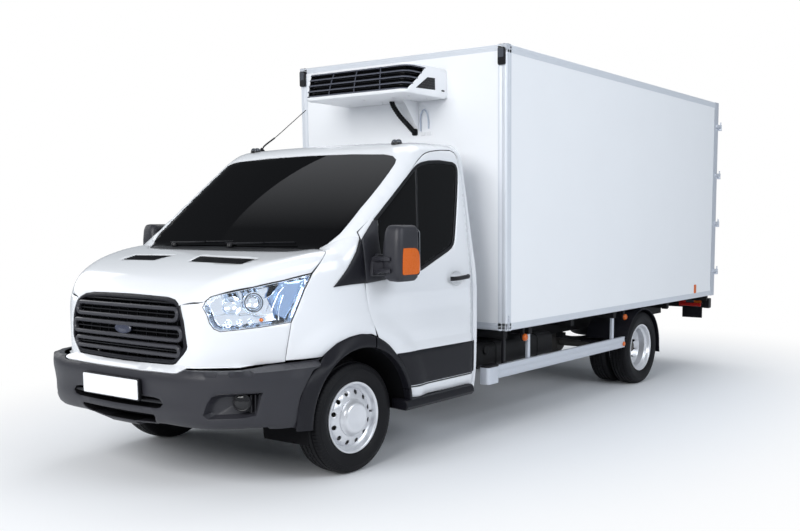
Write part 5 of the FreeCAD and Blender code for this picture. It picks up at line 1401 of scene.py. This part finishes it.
half_turn = WRAP_MM * math.pi / 2 - 0.5
shell_line = rectangle((-half_turn, half_turn), (FLOOR_Z, ROOF_Z))
mouth_low, mouth_high = FLOOR_Z + 17, ROOF_Z - 9
left_low, left_high = cooler([(-END + 8, BACK - 470, mouth_low), (-END + 8, BACK - 440, mouth_high)])
right_low, right_high = cooler([(END, BACK - 474, mouth_low), (END, BACK - 262, mouth_high)])
mouth_line = np.array([left_low, right_low, right_high, left_high])
shell = panel("wrap", shell_line, [mouth_line], step=22, about=BACK, thick=5, roll=2, form=cooler_form)
around = np.linspace(-half_turn, half_turn, 61)


def tray(levels):
    """Closed lid from levels of (height, distance inside the form)."""
    return grid(np.stack([on_cooler(level(around, z), d) for z, d in levels]), wrap_v=True, caps=True)


floor_tray = tray([(FLOOR_Z + 8, 7), (FLOOR_Z, 0.5), (FLOOR_Z - 4, 1.5), (FLOOR_Z - 8, 6), (FLOOR_Z - 10, 14)])
roof_tray = tray([(ROOF_Z - 8, 7), (ROOF_Z, 0.5), (ROOF_Z + 5, 1.5), (ROOF_Z + 10, 7), (ROOF_Z + 13, 18)])
piece("cooler_shell", joined([shell, floor_tray, roof_tray]), COOLER, "chassis", ("cooler_housing",), angle=40)
print("cooling unit shell", len(shell[0]), "points")

# %% [markdown]
# Behind the mouth lies a dark throat with a back wall. The louvres and webs are slim bars carried over the form,
# with finer slats further in, so that the mouth looks deep from every side.

# %% Louvres, webs and flank
deep_line = along(mouth_line + [(-10, -5), (10, -5), (10, 5), (-10, 5)], 22)
walls = thickened(np.stack([on_cooler(deep_line, d) for d in (4, 20, 46)]), 2)
back_sheet = panel("wrap", mouth_line + [(-12, -6), (12, -6), (12, 6), (-12, 6)], step=40, about=BACK, thick=3, roll=1,
                   form=cooler_form, depth=44)
piece("cooler_throat", joined([walls, back_sheet]), DEEP)


def across_mouth(share, depth):
    """Line from the mouth's left end to its right end, at a share of its height."""
    ends = between(left_low, left_high, share), between(right_low, right_high, share)
    return on_cooler(between(*ends, np.linspace(0, 1, 60)[:, None]), depth)


louvres = [carried([(-6, -4.5), (5, -4.5), (7, 0), (5, 4.5), (-6, 4.5)], across_mouth(share, 4))
           for share in (0.03, 0.255, 0.505, 0.755, 0.985)]
slats = [carried(rectangle((-8, 8), (-1.5, 1.5)), across_mouth((k + 0.5) / 8, 30)) for k in range(8)]
for u in cooler([(x, BACK - 480, 0) for x in (-250, 0, 250)])[:, 0]:
    line = level(np.linspace(mouth_low, mouth_high, 9), u)[:, ::-1]
    louvres.append(carried(rectangle((-4, 4), (-2.5, 2.5)), on_cooler(line, 13), up=(0, -1, 0)))
piece("cooler_louvres", joined(louvres), LOUVRE, "chassis", ("cooler_grille",))
piece("cooler_slats", joined(slats), SATIN)
FLANK_VENT = [(BACK - 376, TOP - 218), (BACK - 238, TOP - 128), (BACK - 150, TOP - 124), (BACK - 148, TOP - 210)]
vent = [slab(FLANK_VENT, "x", END - 2, END + 1.5, 1)]
for k in range(4):
    z = TOP - 200 + 18 * k
    vent.append(crate((END, END + 4), (BACK - 340 + 27 * k, BACK - 154), (z, z + 6), 1))
vent.append(slab(round_box((BACK - 70, BACK - 34), (TOP - 212, TOP - 200), 4), "x", END - 1, END + 1.5, 0.6))
piece("cooler_side_vents", both(joined(vent)), SATIN)
print("louvres and webs", len(louvres), "slats", len(slats))

# %% [markdown]
# Below the housing a corrugated hose runs to a boot in the wall, beside a stiffening gusset and a looped drain
# tube. They are fixed runs, so they are plain tubes carried along smooth lines.

# %% Hose, drain and fixings
wall_y = BACK - 4
duct = smooth_path([(60, wall_y - 122, TOP - 258), (72, wall_y - 112, TOP - 300), (104, wall_y - 82, TOP - 366),
                    (148, wall_y - 46, TOP - 430), (178, wall_y - 20, TOP - 474), (188, wall_y - 2, TOP - 490)], 14)
tube = carried(ring_of(1, 20), duct)[0].reshape(len(duct), 20, 3)
swell_by = 19 + 1.8 * np.cos(np.arange(len(duct)) * 1.9)
tube = duct[:, None] + (tube - duct[:, None]) * swell_by[:, None, None]
boot = slab(round_box((162, 216), (TOP - 516, TOP - 464), 14), "y", wall_y - 10, wall_y + 3, 4)
piece("cooler_hose", joined([grid(tube, wrap_v=True, caps=True), boot]), RUBBER, "chassis", ("cooler_duct",))
drain = smooth_path([(250, wall_y - 6, TOP - 486), (250, wall_y - 8, TOP - 400), (260, wall_y - 9, TOP - 350),
                     (287, wall_y - 9, TOP - 326), (314, wall_y - 9, TOP - 350), (326, wall_y - 8, TOP - 400),
                     (328, wall_y - 6, TOP - 470)], 6)
milky = finish("milky_hose", (0.42, 0.47, 0.56), 0.3, coat=0.3, dust=(1.0, 0.0))
piece("drain_tube", carried(ring_of(6, 10), drain), milky)
GUSSET = [(wall_y - 190, TOP - 260), (wall_y + 2, TOP - 260), (wall_y + 2, TOP - 470), (wall_y - 10, TOP - 470)]
gusset = slab(GUSSET, "x", 224, 228, 1)
pads = [slab(round_box((x, x + 46), (TOP - 520, TOP - 490), 5), "y", wall_y - 3, wall_y + 2, 1) for x in (244, 306)]
fixings = [lathe([(-4, 0.5), (-4, 9), (0, 9), (0, 0.5)], (x, BACK - y, TOP - 263), "z", 14, closed=False)
           for x in (-380, -40, 250, 400) for y in (120, 330)]
piece("cooler_brackets", joined([gusset] + pads + fixings), COOLER)
print("cooling unit done")

# %% [markdown]
# A tyre is a lathe turned profile whose tread is cut by four grooves and by fine cross cuts at the shoulders.
# The cuts are part of the surface itself, because their shadows follow the light as the wheel turns.

# %% Tyres
def tyre_form(x, count=540):
    """Tyre round an axle at x. Its radius falls by 7 mm inside each groove, whose middle weaves 2 mm from side to
    side, by 3 mm inside each shoulder cut and by 2 mm inside each fine cut across the ribs."""
    side = [(-66, 214), (-71, 217), (-74, 224), (-78, 232), (-86, 243), (-92, 262), (-95, 285), (-94, 299),
            (-95.5, 301), (-94, 303), (-91, 316), (-86, 328), (-81, 335)]
    across = np.concatenate([np.linspace(-77, -60, 6), [-56, -54, -47, -45], np.linspace(-40, -26, 4),
                             [-21, -19, -12, -10, -5, 0]])
    across = np.concatenate([across, -across[-2::-1]])
    left = np.array(side, float)
    offset = np.concatenate([left[:, 0], across, -left[::-1, 0]])
    radius = np.concatenate([left[:, 1], 346 - 8 * np.abs(across / 77)**3.2, left[::-1, 1]])
    t = turns(count)
    weave = 2.0 * np.arcsin(np.sin(t * 60)) / (np.pi / 2)
    a, r = np.meshgrid(offset, t, indexing="ij")[0], np.repeat(radius[:, None], count, 1)
    away, groove_half, cut_pairs = np.abs(a), 4.6, 45
    for middle in (-50.5, -15.5, 15.5, 50.5):
        in_groove = np.abs(a - middle - weave * (1 - abs(middle) / 90)) < groove_half
        r = r - 7 * (in_groove & (away < 77))
    shoulder = (np.abs(np.sin(t * cut_pairs)) < 0.30) & (away > 57) & (away < 93) & (r > 312)
    fine = (np.abs(np.sin(t * cut_pairs + 0.8)) < 0.16) & (away < 44)
    r = r - 3.0 * shoulder - 2.0 * (fine & (away > 20)) - 2.0 * (fine & (away < 10))
    return grid(round_axle(x + a, r, t), wrap_u=True, wrap_v=True)


def at_rear(part):
    """The part moved back from the front axle to the rear one."""
    return part[0] + (0, REAR_Y, 0), part[1]


print("faces of a tyre", len(tyre_form(0.0)[1]))

# %% [markdown]
# A steel wheel is a rolled barrel with a pressed disc. The front disc bulges out, with twelve round holes and a
# wide domed cap, and the twin discs sit deep inside and meet at the hub with its ring of nuts.

# %% Barrel, disc and nuts
def barrel(x, out):
    """Rolled barrel: its wall is 9 mm, with flanges at both ends and a well between the bead seats."""
    line = [(-80, 221), (-76, 223), (-72, 221), (-70, 213), (-44, 212), (-32, 191), (24, 191), (38, 212), (70, 213),
            (72, 221), (76, 223), (80, 221), (80, 213), (76, 206), (72, 204), (46, 203), (40, 199), (36, 187),
            (30, 182), (-30, 182), (-40, 187), (-46, 203), (-72, 204), (-80, 213)]
    return lathe([(out * a, r) for a, r in line], (x, 0, AXLE_Z), "x", 96)


def pressed_disc(x, out, shape, inner, hole_at, hole_r):
    """Disc of 6 mm sheet with twelve round holes. shape gives (radius, offset), and the sheet follows it like
    a bowl."""
    rings = [ring_of(185, 96), ring_of(inner, 64)[::-1]]
    for a in turns(12) + np.pi / 12:
        rings.append((ring_of(hole_r, 22) + hole_at * np.array((np.cos(a), np.sin(a))))[::-1])
    uv, tri, loops = filled(rings, 13)
    r = np.hypot(*uv.T)
    table = np.array(sorted(shape), float)
    offset = np.interp(r, *table.T)
    dip = np.zeros(len(uv))
    for loop in loops[2:]:
        dip[loop] = 2.5
    top = np.stack([x + out * (offset - dip), uv[:, 0], AXLE_Z + uv[:, 1]], 1)
    low = top - (out * 6, 0, 0)
    m = len(uv)
    faces = [tuple(f) for f in tri.tolist()] + [tuple(f) for f in (tri[:, ::-1] + m).tolist()]
    for loop in loops:
        j = np.roll(loop, -1)
        faces += [tuple(q) for q in np.stack([loop, j, j + m, loop + m], 1).tolist()]
    return np.vstack([top, low]), faces


def nut_ring(x, radius, count):
    """Wheel nuts with rounded ends, each on a flat washer."""
    half, length = 15.0, 24.0
    nut = [(0, 0.5), (0, half + 4), (4, half + 4), (5, half), (length - 5, half), (length, half * 0.55), (length, 0.5)]
    return [lathe(nut, place, "x", 6, closed=False) for place in round_axle(x, radius, turns(count))]


print("faces of a barrel", len(barrel(0.0, 1)[1]))

# %% [markdown]
# The same pieces make all six wheels. The front disc stands outwards, and the twins are one pair turned towards
# each other on a common hub.

# %% Wheels
front_x, twin_x = 866.0, 817.0
out_x, in_x = twin_x + 111, twin_x - 111
FRONT_SHAPE = [(186, 24), (181, 37), (174, 48), (166, 54), (154, 59), (140, 63), (122, 67), (60, 68), (40, 68)]
front_disc = pressed_disc(front_x, 1, FRONT_SHAPE, 62, 157, 15.5)
cap = lathe([(64, 0.5), (64, 116), (68, 118), (74, 117), (79, 110), (90, 103), (99, 97), (105, 90), (107, 84),
             (107, 70), (104, 56), (103, 0.5)], (front_x, 0, AXLE_Z), "x", 72, closed=False)
valve = lathe([(20, 0.5), (20, 6), (52, 5), (54, 3), (54, 0.5)], (front_x, 188, AXLE_Z + 6), "x", 12, closed=False)
inner_hub = lathe([(-14, 40), (-14, 66), (60, 66), (60, 40)], (front_x, 0, AXLE_Z), "x", 48)
for side, turn in SIDES:
    body = "wheel_front_" + side
    piece("tyre_front_tread_" + side, turn(tyre_form(front_x)), TYRE, body, ("tyre_front_" + side,), angle=28)
    piece("wheel_front_disc_" + side, turn(joined([barrel(front_x, 1), front_disc, inner_hub])), RIM, body,
          ("rim_front_" + side,))
    piece("wheel_front_cap_" + side, turn(cap), RIM, body)
    piece("valve_front_" + side, turn(valve), SATIN, body)
REAR_SHAPE = [(186, -22), (176, -34), (160, -58), (140, -84), (118, -102), (60, -104), (40, -104)]
outer_disc = pressed_disc(out_x, 1, REAR_SHAPE, 60, 150, 13)
inner_disc = pressed_disc(in_x, -1, REAR_SHAPE, 60, 150, 13)
hub = lathe([(-20, 0.5), (-20, 66), (34, 66), (38, 62), (62, 60), (92, 50), (96, 44), (96, 0.5)],
            (twin_x, 0, AXLE_Z), "x", 48, closed=False)
rear = joined([barrel(out_x, 1), barrel(in_x, -1), outer_disc, inner_disc])
twins = joined([tyre_form(out_x, 480), tyre_form(in_x, 480)])
nuts = nut_ring(twin_x + 10, 87, 6)
for side, turn in SIDES:
    body = "wheels_rear_" + side
    piece("tyres_rear_tread_" + side, turn(at_rear(twins)), TYRE, body, ("tyres_rear_" + side,), angle=28)
    piece("wheels_rear_discs_" + side, turn(at_rear(rear)), RIM, body, ("rims_rear_" + side,))
    piece("hub_rear_" + side, turn(at_rear(joined([hub] + nuts))), CAST, body)
print("wheels done")

# %% [markdown]
# Low along each side runs an aluminium guard on two posts, so that nobody can fall in front of the rear wheels.
# Its nose is a taller cap with a black top. Amber markers hang from brackets at the side, and a black mudguard
# wraps the twin wheels. All of these are profiles carried along a line.

# %% Side guards and mudguards
GUARD = [(0, 0), (28, 0), (28, 6), (26, 9), (26, 40), (28, 44), (28, 52), (26, 56), (26, 87), (28, 90), (28, 96),
         (0, 96)]
guard = edge_run(GUARD, (992, 1440, 392), (992, 3580, 392), (1, 0, 0), (0, 0, 1))
nose_plan = round_box((936, 1028), (1345, 1490), 26)
nose = slab(nose_plan, "z", 360, 484, 2)
nose_cap = slab(inset(anticlockwise(nose_plan), -2.5), "z", 484, 499, 5)
posts = [slab(round_box((962, 990), (y - 17, y + 17), 5), "z", 400, 735, 2) for y in (1960, 3400)]
clamps = [crate((957, 992), (y - 24, y + 24), (400, 470), 3) for y in (1960, 3400)]
strut = slab(round_box((962, 988), (1602, 1630), 5), "z", 470, 735, 2)
piece("side_guard_rails", both(joined([guard, nose])), ALLOY, "chassis", ("side_guards",))
piece("side_guard_posts", both(joined(posts)), ALLOY)
piece("side_guard_clamps", both(joined(clamps + [strut, nose_cap])), SATIN)
t = np.radians(np.linspace(163, -2, 46))
flare = [(365, 603), (365, 1010), (362, 1026), (366, 1033), (373, 1031), (374, 1012), (373, 603)]
mud = np.stack([round_axle(x, r, t, REAR_Y) for r, x in flare], 1)
drop = np.stack([np.stack([np.full(3, x), np.array([0.0, 4, 10]) + REAR_Y + r, np.array([334.0, 300, 262])], 1)
                 for r, x in flare], 1)
mud = np.concatenate([mud, drop])
stays = [carried(ring_of(13, 12), [(560, REAR_Y + y, z), (1000, REAR_Y + y, z)])
         for y, z in ((-372, 420), (376, 420), (0, 728))]
piece("mudguards", both(joined([grid(mud, wrap_v=True, caps=True)] + stays)), GRAINED, "chassis", ("rear_mudguards",))
print("guards done")

# %% [markdown]
# The lamps round the body are small coloured blocks with soft corners on black holders: three markers and a
# reflector on each side, a dark corner lamp high on the front, and the cluster under each rear door.

# %% Lamps round the body
markers, holders, darks, reds, clears = [], [], [], [], []
for y, z in ((1900, 652), (3640, 664)):
    markers.append(lathe([(0, 0.5), (29, 0.5), (28, 10), (24, 20), (16, 27), (6, 29), (0, 27)], (980, y, z), "x", 28,
                         closed=False))
    holders.append(lathe([(-8, 0.5), (-8, 33), (2, 33), (6, 30), (6, 0.5)], (976, y, z), "x", 28, closed=False))
    holders.append(crate((952, 978), (y - 14, y + 14), (z - 10, 735), 3))
markers.append(lathe([(0, 0.5), (0, 22), (6, 20), (9, 0.5)], (1021, 3560, 424), "x", 24, closed=False))
markers.append(slab(round_box((5170, 5218), (790, 880), 8), "x", X - 5, X + 5, 2))
darks.append(slab(round_box((972, 1032), (Z1 - 150, Z1 - 26), 12), "y", Y0 - 22, Y0 + 2, 4))
clears.append(slab(round_box((978, 1026), (Z1 - 98, Z1 - 34), 8), "y", Y0 - 25, Y0 - 18, 2))
for x0, x1, kind in ((660, 745, reds), (748, 838, clears), (841, 928, markers), (664, 924, reds)):
    z0, z1 = ((646, 690), (606, 643))[(x1 - x0) > 200]
    kind.append(slab(round_box((x0, x1), (z0, z1), 7), "y", 5722, 5740, 3))
    kind.append(slab(round_box((x0, x1), (z0, z1), 7), "y", 5658, 5672, 3))
holders += [crate((650, 940), (5670, 5724), (598, 698), 5), crate((700, 930), (5676, 5690), (478, 602), 3),
            crate((952, 1012), (5672, 5738), (590, 700), 6)]
piece("marker_lamps", both(joined(markers)), AMBER, "chassis", ("lamps",))
piece("lamp_holders", both(joined(holders + darks)), SATIN)
piece("rear_lamps_red", both(joined(reds)), RED)
piece("lamps_clear", both(joined(clears)), SMOKED)
print("lamps done")

# %% [markdown]
# The fuel tank is a folded box with pressed straps, tucked up between the rails and the guard.

# %% Fuel tank
tank_plan = round_box((506, 890), (452, 636), 40, 8)
tank = slab(tank_plan, "y", 1392, 2490, 12)
straps = [slab(inset(tank_plan, -5), "y", y, y + 36, 1.5) for y in (1640, 2240)]
filler = lathe([(0, 0.5), (0, 34), (14, 34), (18, 28), (18, 0.5)], (890, 1500, 590), "x", 24, closed=False)
piece("fuel_tank_shell", joined([tank, filler] + straps), CHASSIS, "chassis", ("fuel_tank",))
print("tank done")

# %% [markdown]
# Inside, each seat is foam under woven cloth: cushion, backrest and headrest are separate pads. A pad starts as
# a rounded block whose sides pull in between its corners and whose face is crowned, a seam groove crosses it,
# and a cloth simulation with a little inner pressure gives it the fullness of real upholstery.

# %% Pad form
def pad_form(centre, out, size):
    """Closed pad that faces along out. A superellipse of power 5 is swept through the thickness: its half width
    and height shrink by a waist that is deepest between the corners, and its front face rises by crown times the
    product of two cosines."""
    crown, rows, waist = 0.10, 22, 0.03
    centre, right, out = (np.array(v, float) for v in (centre, (1, 0, 0), out))
    up = np.cross(out, right)
    w, h, d = size
    t = turns(72)
    c, s = np.cos(t), np.sin(t)
    e = np.sign(c) * np.abs(c)**0.4, np.sign(s) * np.abs(s)**0.4
    pull = 1 - waist * np.cos(2 * (t - np.pi / 4) * 2 + np.pi)**2
    levels = np.concatenate([np.linspace(0.02, 1, rows // 2), np.linspace(1, 0.02, rows // 2)])
    heights = np.concatenate([np.full(rows // 2, -1.0), np.full(rows // 2, 1.0)])
    edge = np.sqrt(np.clip(1 - np.clip((levels - 0.86) / 0.14, 0, 1)**2, 0, 1))
    p = []
    for reach, height, soft in zip(levels, heights, edge):
        a, b = e[0] * pull * reach * w / 2, e[1] * pull * reach * h / 2
        bulge = crown * w * np.cos(np.clip(a / w, -0.5, 0.5) * np.pi) * np.cos(np.clip(b / h, -0.5, 0.5) * np.pi)
        z = height * (d / 2 * (0.30 + 0.70 * soft) + bulge * (height > 0))
        p.append(centre + right * a[:, None] + up * b[:, None] + out * np.broadcast_to(z, a.shape)[:, None])
    return grid(np.stack(p), wrap_v=True, caps=True)


print("pad of 500 mm, widest at", round(np.ptp(pad_form((0, 0, 0), (0, 0, 1), (500, 480, 110))[0][:, 0])), "mm")

# %% [markdown]
# Cloth swells most in the middle of a face. The simulation is cut short and each point's movement is capped, so
# that a pad fills out without losing its shape, and the seams are pressed in afterwards.

# %% Upholstery
def upholstered(name, part, seams, voxel=0.016, cap=0.008):
    """Each seam is (axis, place in metres)."""
    pressure, last, seam_deep, seam_half = 4.0, 16, 0.007, 0.016
    obj = piece(name, part, CLOTH)
    remesh = obj.modifiers.new("remesh", "REMESH")
    remesh.mode, remesh.voxel_size = "VOXEL", voxel
    bpy.context.view_layer.objects.active = obj
    bpy.ops.object.modifier_apply(modifier="remesh")
    count = len(obj.data.vertices)
    start = np.empty(count * 3)
    obj.data.vertices.foreach_get("co", start)
    cloth = obj.modifiers.new("cloth", "CLOTH")
    cloth.settings.use_pressure = True
    cloth.settings.uniform_pressure_force = pressure
    cloth.settings.effector_weights.gravity = 0.0
    cloth.settings.quality = 4
    cloth.point_cache.frame_start, cloth.point_cache.frame_end = 1, last
    for f in range(1, last + 1):
        bpy.context.scene.frame_set(f)
    bpy.ops.object.modifier_apply(modifier="cloth")
    bpy.context.scene.frame_set(1)
    after = np.empty(count * 3)
    obj.data.vertices.foreach_get("co", after)
    move = (after - start).reshape(-1, 3)
    far = np.linalg.norm(move, axis=1, keepdims=True) + 1e-9
    place = start.reshape(-1, 3) + move * np.minimum(1, cap / far)
    normal = np.empty(count * 3)
    obj.data.vertices.foreach_get("normal", normal)
    for axis, at in seams:
        gap = np.abs(place[:, axis] - at)
        place -= normal.reshape(-1, 3) * (seam_deep * np.clip(1 - gap / seam_half, 0, 1)**1.5)[:, None]
    obj.data.vertices.foreach_set("co", place.ravel())
    obj.data.update()
    obj.data.shade_smooth()
    sub = obj.modifiers.new("smooth", "SUBSURF")
    sub.levels = sub.render_levels = 1
    return obj


print("cloth is simulated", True)

# %% [markdown]
# The driver has one seat and the passengers a bench for two. Each is a cushion and a backrest on a dark frame,
# and the headrests stand on pairs of thin posts.

# %% Seats
lean = np.array((0, -0.99, 0.19)) / math.hypot(0.99, 0.19)
frames, pads = [], []
for name, middle, width in (("driver", 470.0, 500.0), ("bench", -370.0, 900.0)):
    seams = [(0, (middle - width * 0.28) / 1000), (0, (middle + width * 0.28) / 1000)]
    cushion = pad_form((middle, 745, 818), (0, -0.06, 1), (width - 20, 480, 110))
    pads.append(upholstered("cushion_" + name, cushion, seams))
    backrest = pad_form((middle, 1000, 1165), lean, (width - 20, 590, 90))
    pads.append(upholstered("backrest_" + name, backrest, seams))
    half = width / 2 - 20
    frames.append(crate((middle - half, middle + half), (560, 980), (705, 768), 6))
    frames.append(slab([(978, 800), (1012, 800), (1088, 1440), (1066, 1440)], "x", middle - half + 5,
                       middle + half - 5, 6))
for k, x in enumerate((470.0, -585.0, -155.0)):
    pads.append(upholstered("headrest_%d" % k, pad_form((x, 1065, 1580), lean, (240, 150, 66)), []))
    frames += [carried(ring_of(7, 10), [(x + dx, 1058, 1400), (x + dx, 1066, 1540)]) for dx in (-60, 60)]
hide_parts("seats")
piece("seat_frames", joined(frames), TRIM)
print("seat pads", len(pads))

# %% [markdown]
# The dashboard is one grained moulding with a hooded binnacle, a dark screen, air vents and a round-rimmed
# steering wheel with three spokes. Its profile is carried across the cab with soft ends.

# %% Dashboard and steering wheel
DASH = [(-5, 1010), (-5, 1330), (50, 1366), (140, 1374), (250, 1352), (330, 1326), (362, 1300), (376, 1268),
        (380, 1200), (366, 1120), (350, 1050), (300, 960), (180, 930), (120, 960)]
dash_line = anticlockwise(spline(DASH, 4, closed=True))
rows = []
for x, by in ((-915, 26), (-905, 8), (-880, 0), (-300, 0), (300, 0), (880, 0), (905, 8), (915, 26)):
    rows.append(np.insert(inset(dash_line, by), 0, x, 1))
moulding = grid(np.stack(rows), wrap_v=True, caps=True)
console = slab(round_box((-180, 180), (60, 300), 30), "z", 705, 955, 10)
binnacle = slab(round_box((330, 610), (1286, 1396), 45, 7), "y", 300, 396, 10)
vents = [slab(round_box((x - 62, x + 62), (1236, 1286), 10), "y", 372, 386, 3) for x in (-780, -120, 120, 780)]
screen = slab(round_box((-105, 105), (1112, 1224), 8), "y", 366, 384, 3)
piece("dash_moulding", joined([moulding, console, binnacle]), TRIM, "chassis", ("dashboard",))
piece("dash_vents_and_screen", joined(vents + [screen]), SATIN)
hub_at, tilt = np.array((470.0, 485.0, 1222.0)), np.array((0, 0.894, 0.447))
across = np.array((1.0, 0, 0))
upward = np.cross(tilt, across)
rim = carried(ring_of(14, 12), hoop(hub_at, across * 190, upward * 190, 64), up=tilt, closed=True)
spokes = []
for c, s in ((1, 0.1), (-1, 0.1), (0.02, -1)):
    arm = across * c + upward * s
    spokes.append(carried(BAR * (1.6, 0.8), [hub_at + arm * 30 - tilt * 8, hub_at + arm * 182], up=tilt))
column = carried(ring_of(26, 16), [hub_at - tilt * 130, hub_at - tilt * 4])
boss_pad = bowl_at(hub_at + tilt * 2, tilt, 56, -24)
piece("steering_wheel", joined([rim, column, boss_pad] + spokes), SATIN)
print("cabin done")

# %% [markdown]
# At the back the two doors are flat insulated leaves with a rubber lip, and each hangs on four strap hinges and
# is locked by a full-height bar with cams and a swinging handle.

# %% Rear doors
low, high = node_box("rear_door_left")
leaf = slab(rectangle((low[0], high[0]), (low[2], high[2])), "y", low[1], high[1], 4)
lip = slab(rectangle((low[0] - 1, low[0] + 5), (low[2] + 12, high[2] - 12)), "y", high[1] - 14, high[1] - 6, 2)
for side, turn in SIDES:
    piece("rear_leaf_" + side, turn(leaf), PANEL, "rear_door_" + side, ("rear_door_" + side,))
    piece("rear_lip_" + side, turn(lip), RUBBER, "rear_door_" + side)
print("rear doors done")

# %% [markdown]
# CAD solids that keep their own shape get the finish that belongs to their material slot.

# %% Finishes for the solids that show
SLOT_FINISH = {"body_white": PAINT, "black_plastic": GRAINED, "lamp_clear": LENS, "lamp_amber": AMBER,
               "dark_glass": GLASS, "seat_fabric": CLOTH, "cast_iron": CAST, "chassis_black": CHASSIS,
               "steel_wheel": RIM, "tyre_rubber": TYRE, "exhaust_steel": EXHAUST, "panel_white": PANEL,
               "edge_aluminium": ALLOY, "black_rubber": RUBBER}
slot_of = {sub["node"]: sub["material_slot"] for sub in frame["record"]["subparts"]}
for name, obj in frame["nodes"].items():
    own = SLOT_FINISH[slot_of[name]]
    for slot in obj.material_slots:
        slot.material = own
    if not obj.material_slots:
        obj.data.materials.append(own)
print("nodes dressed", len(slot_of))
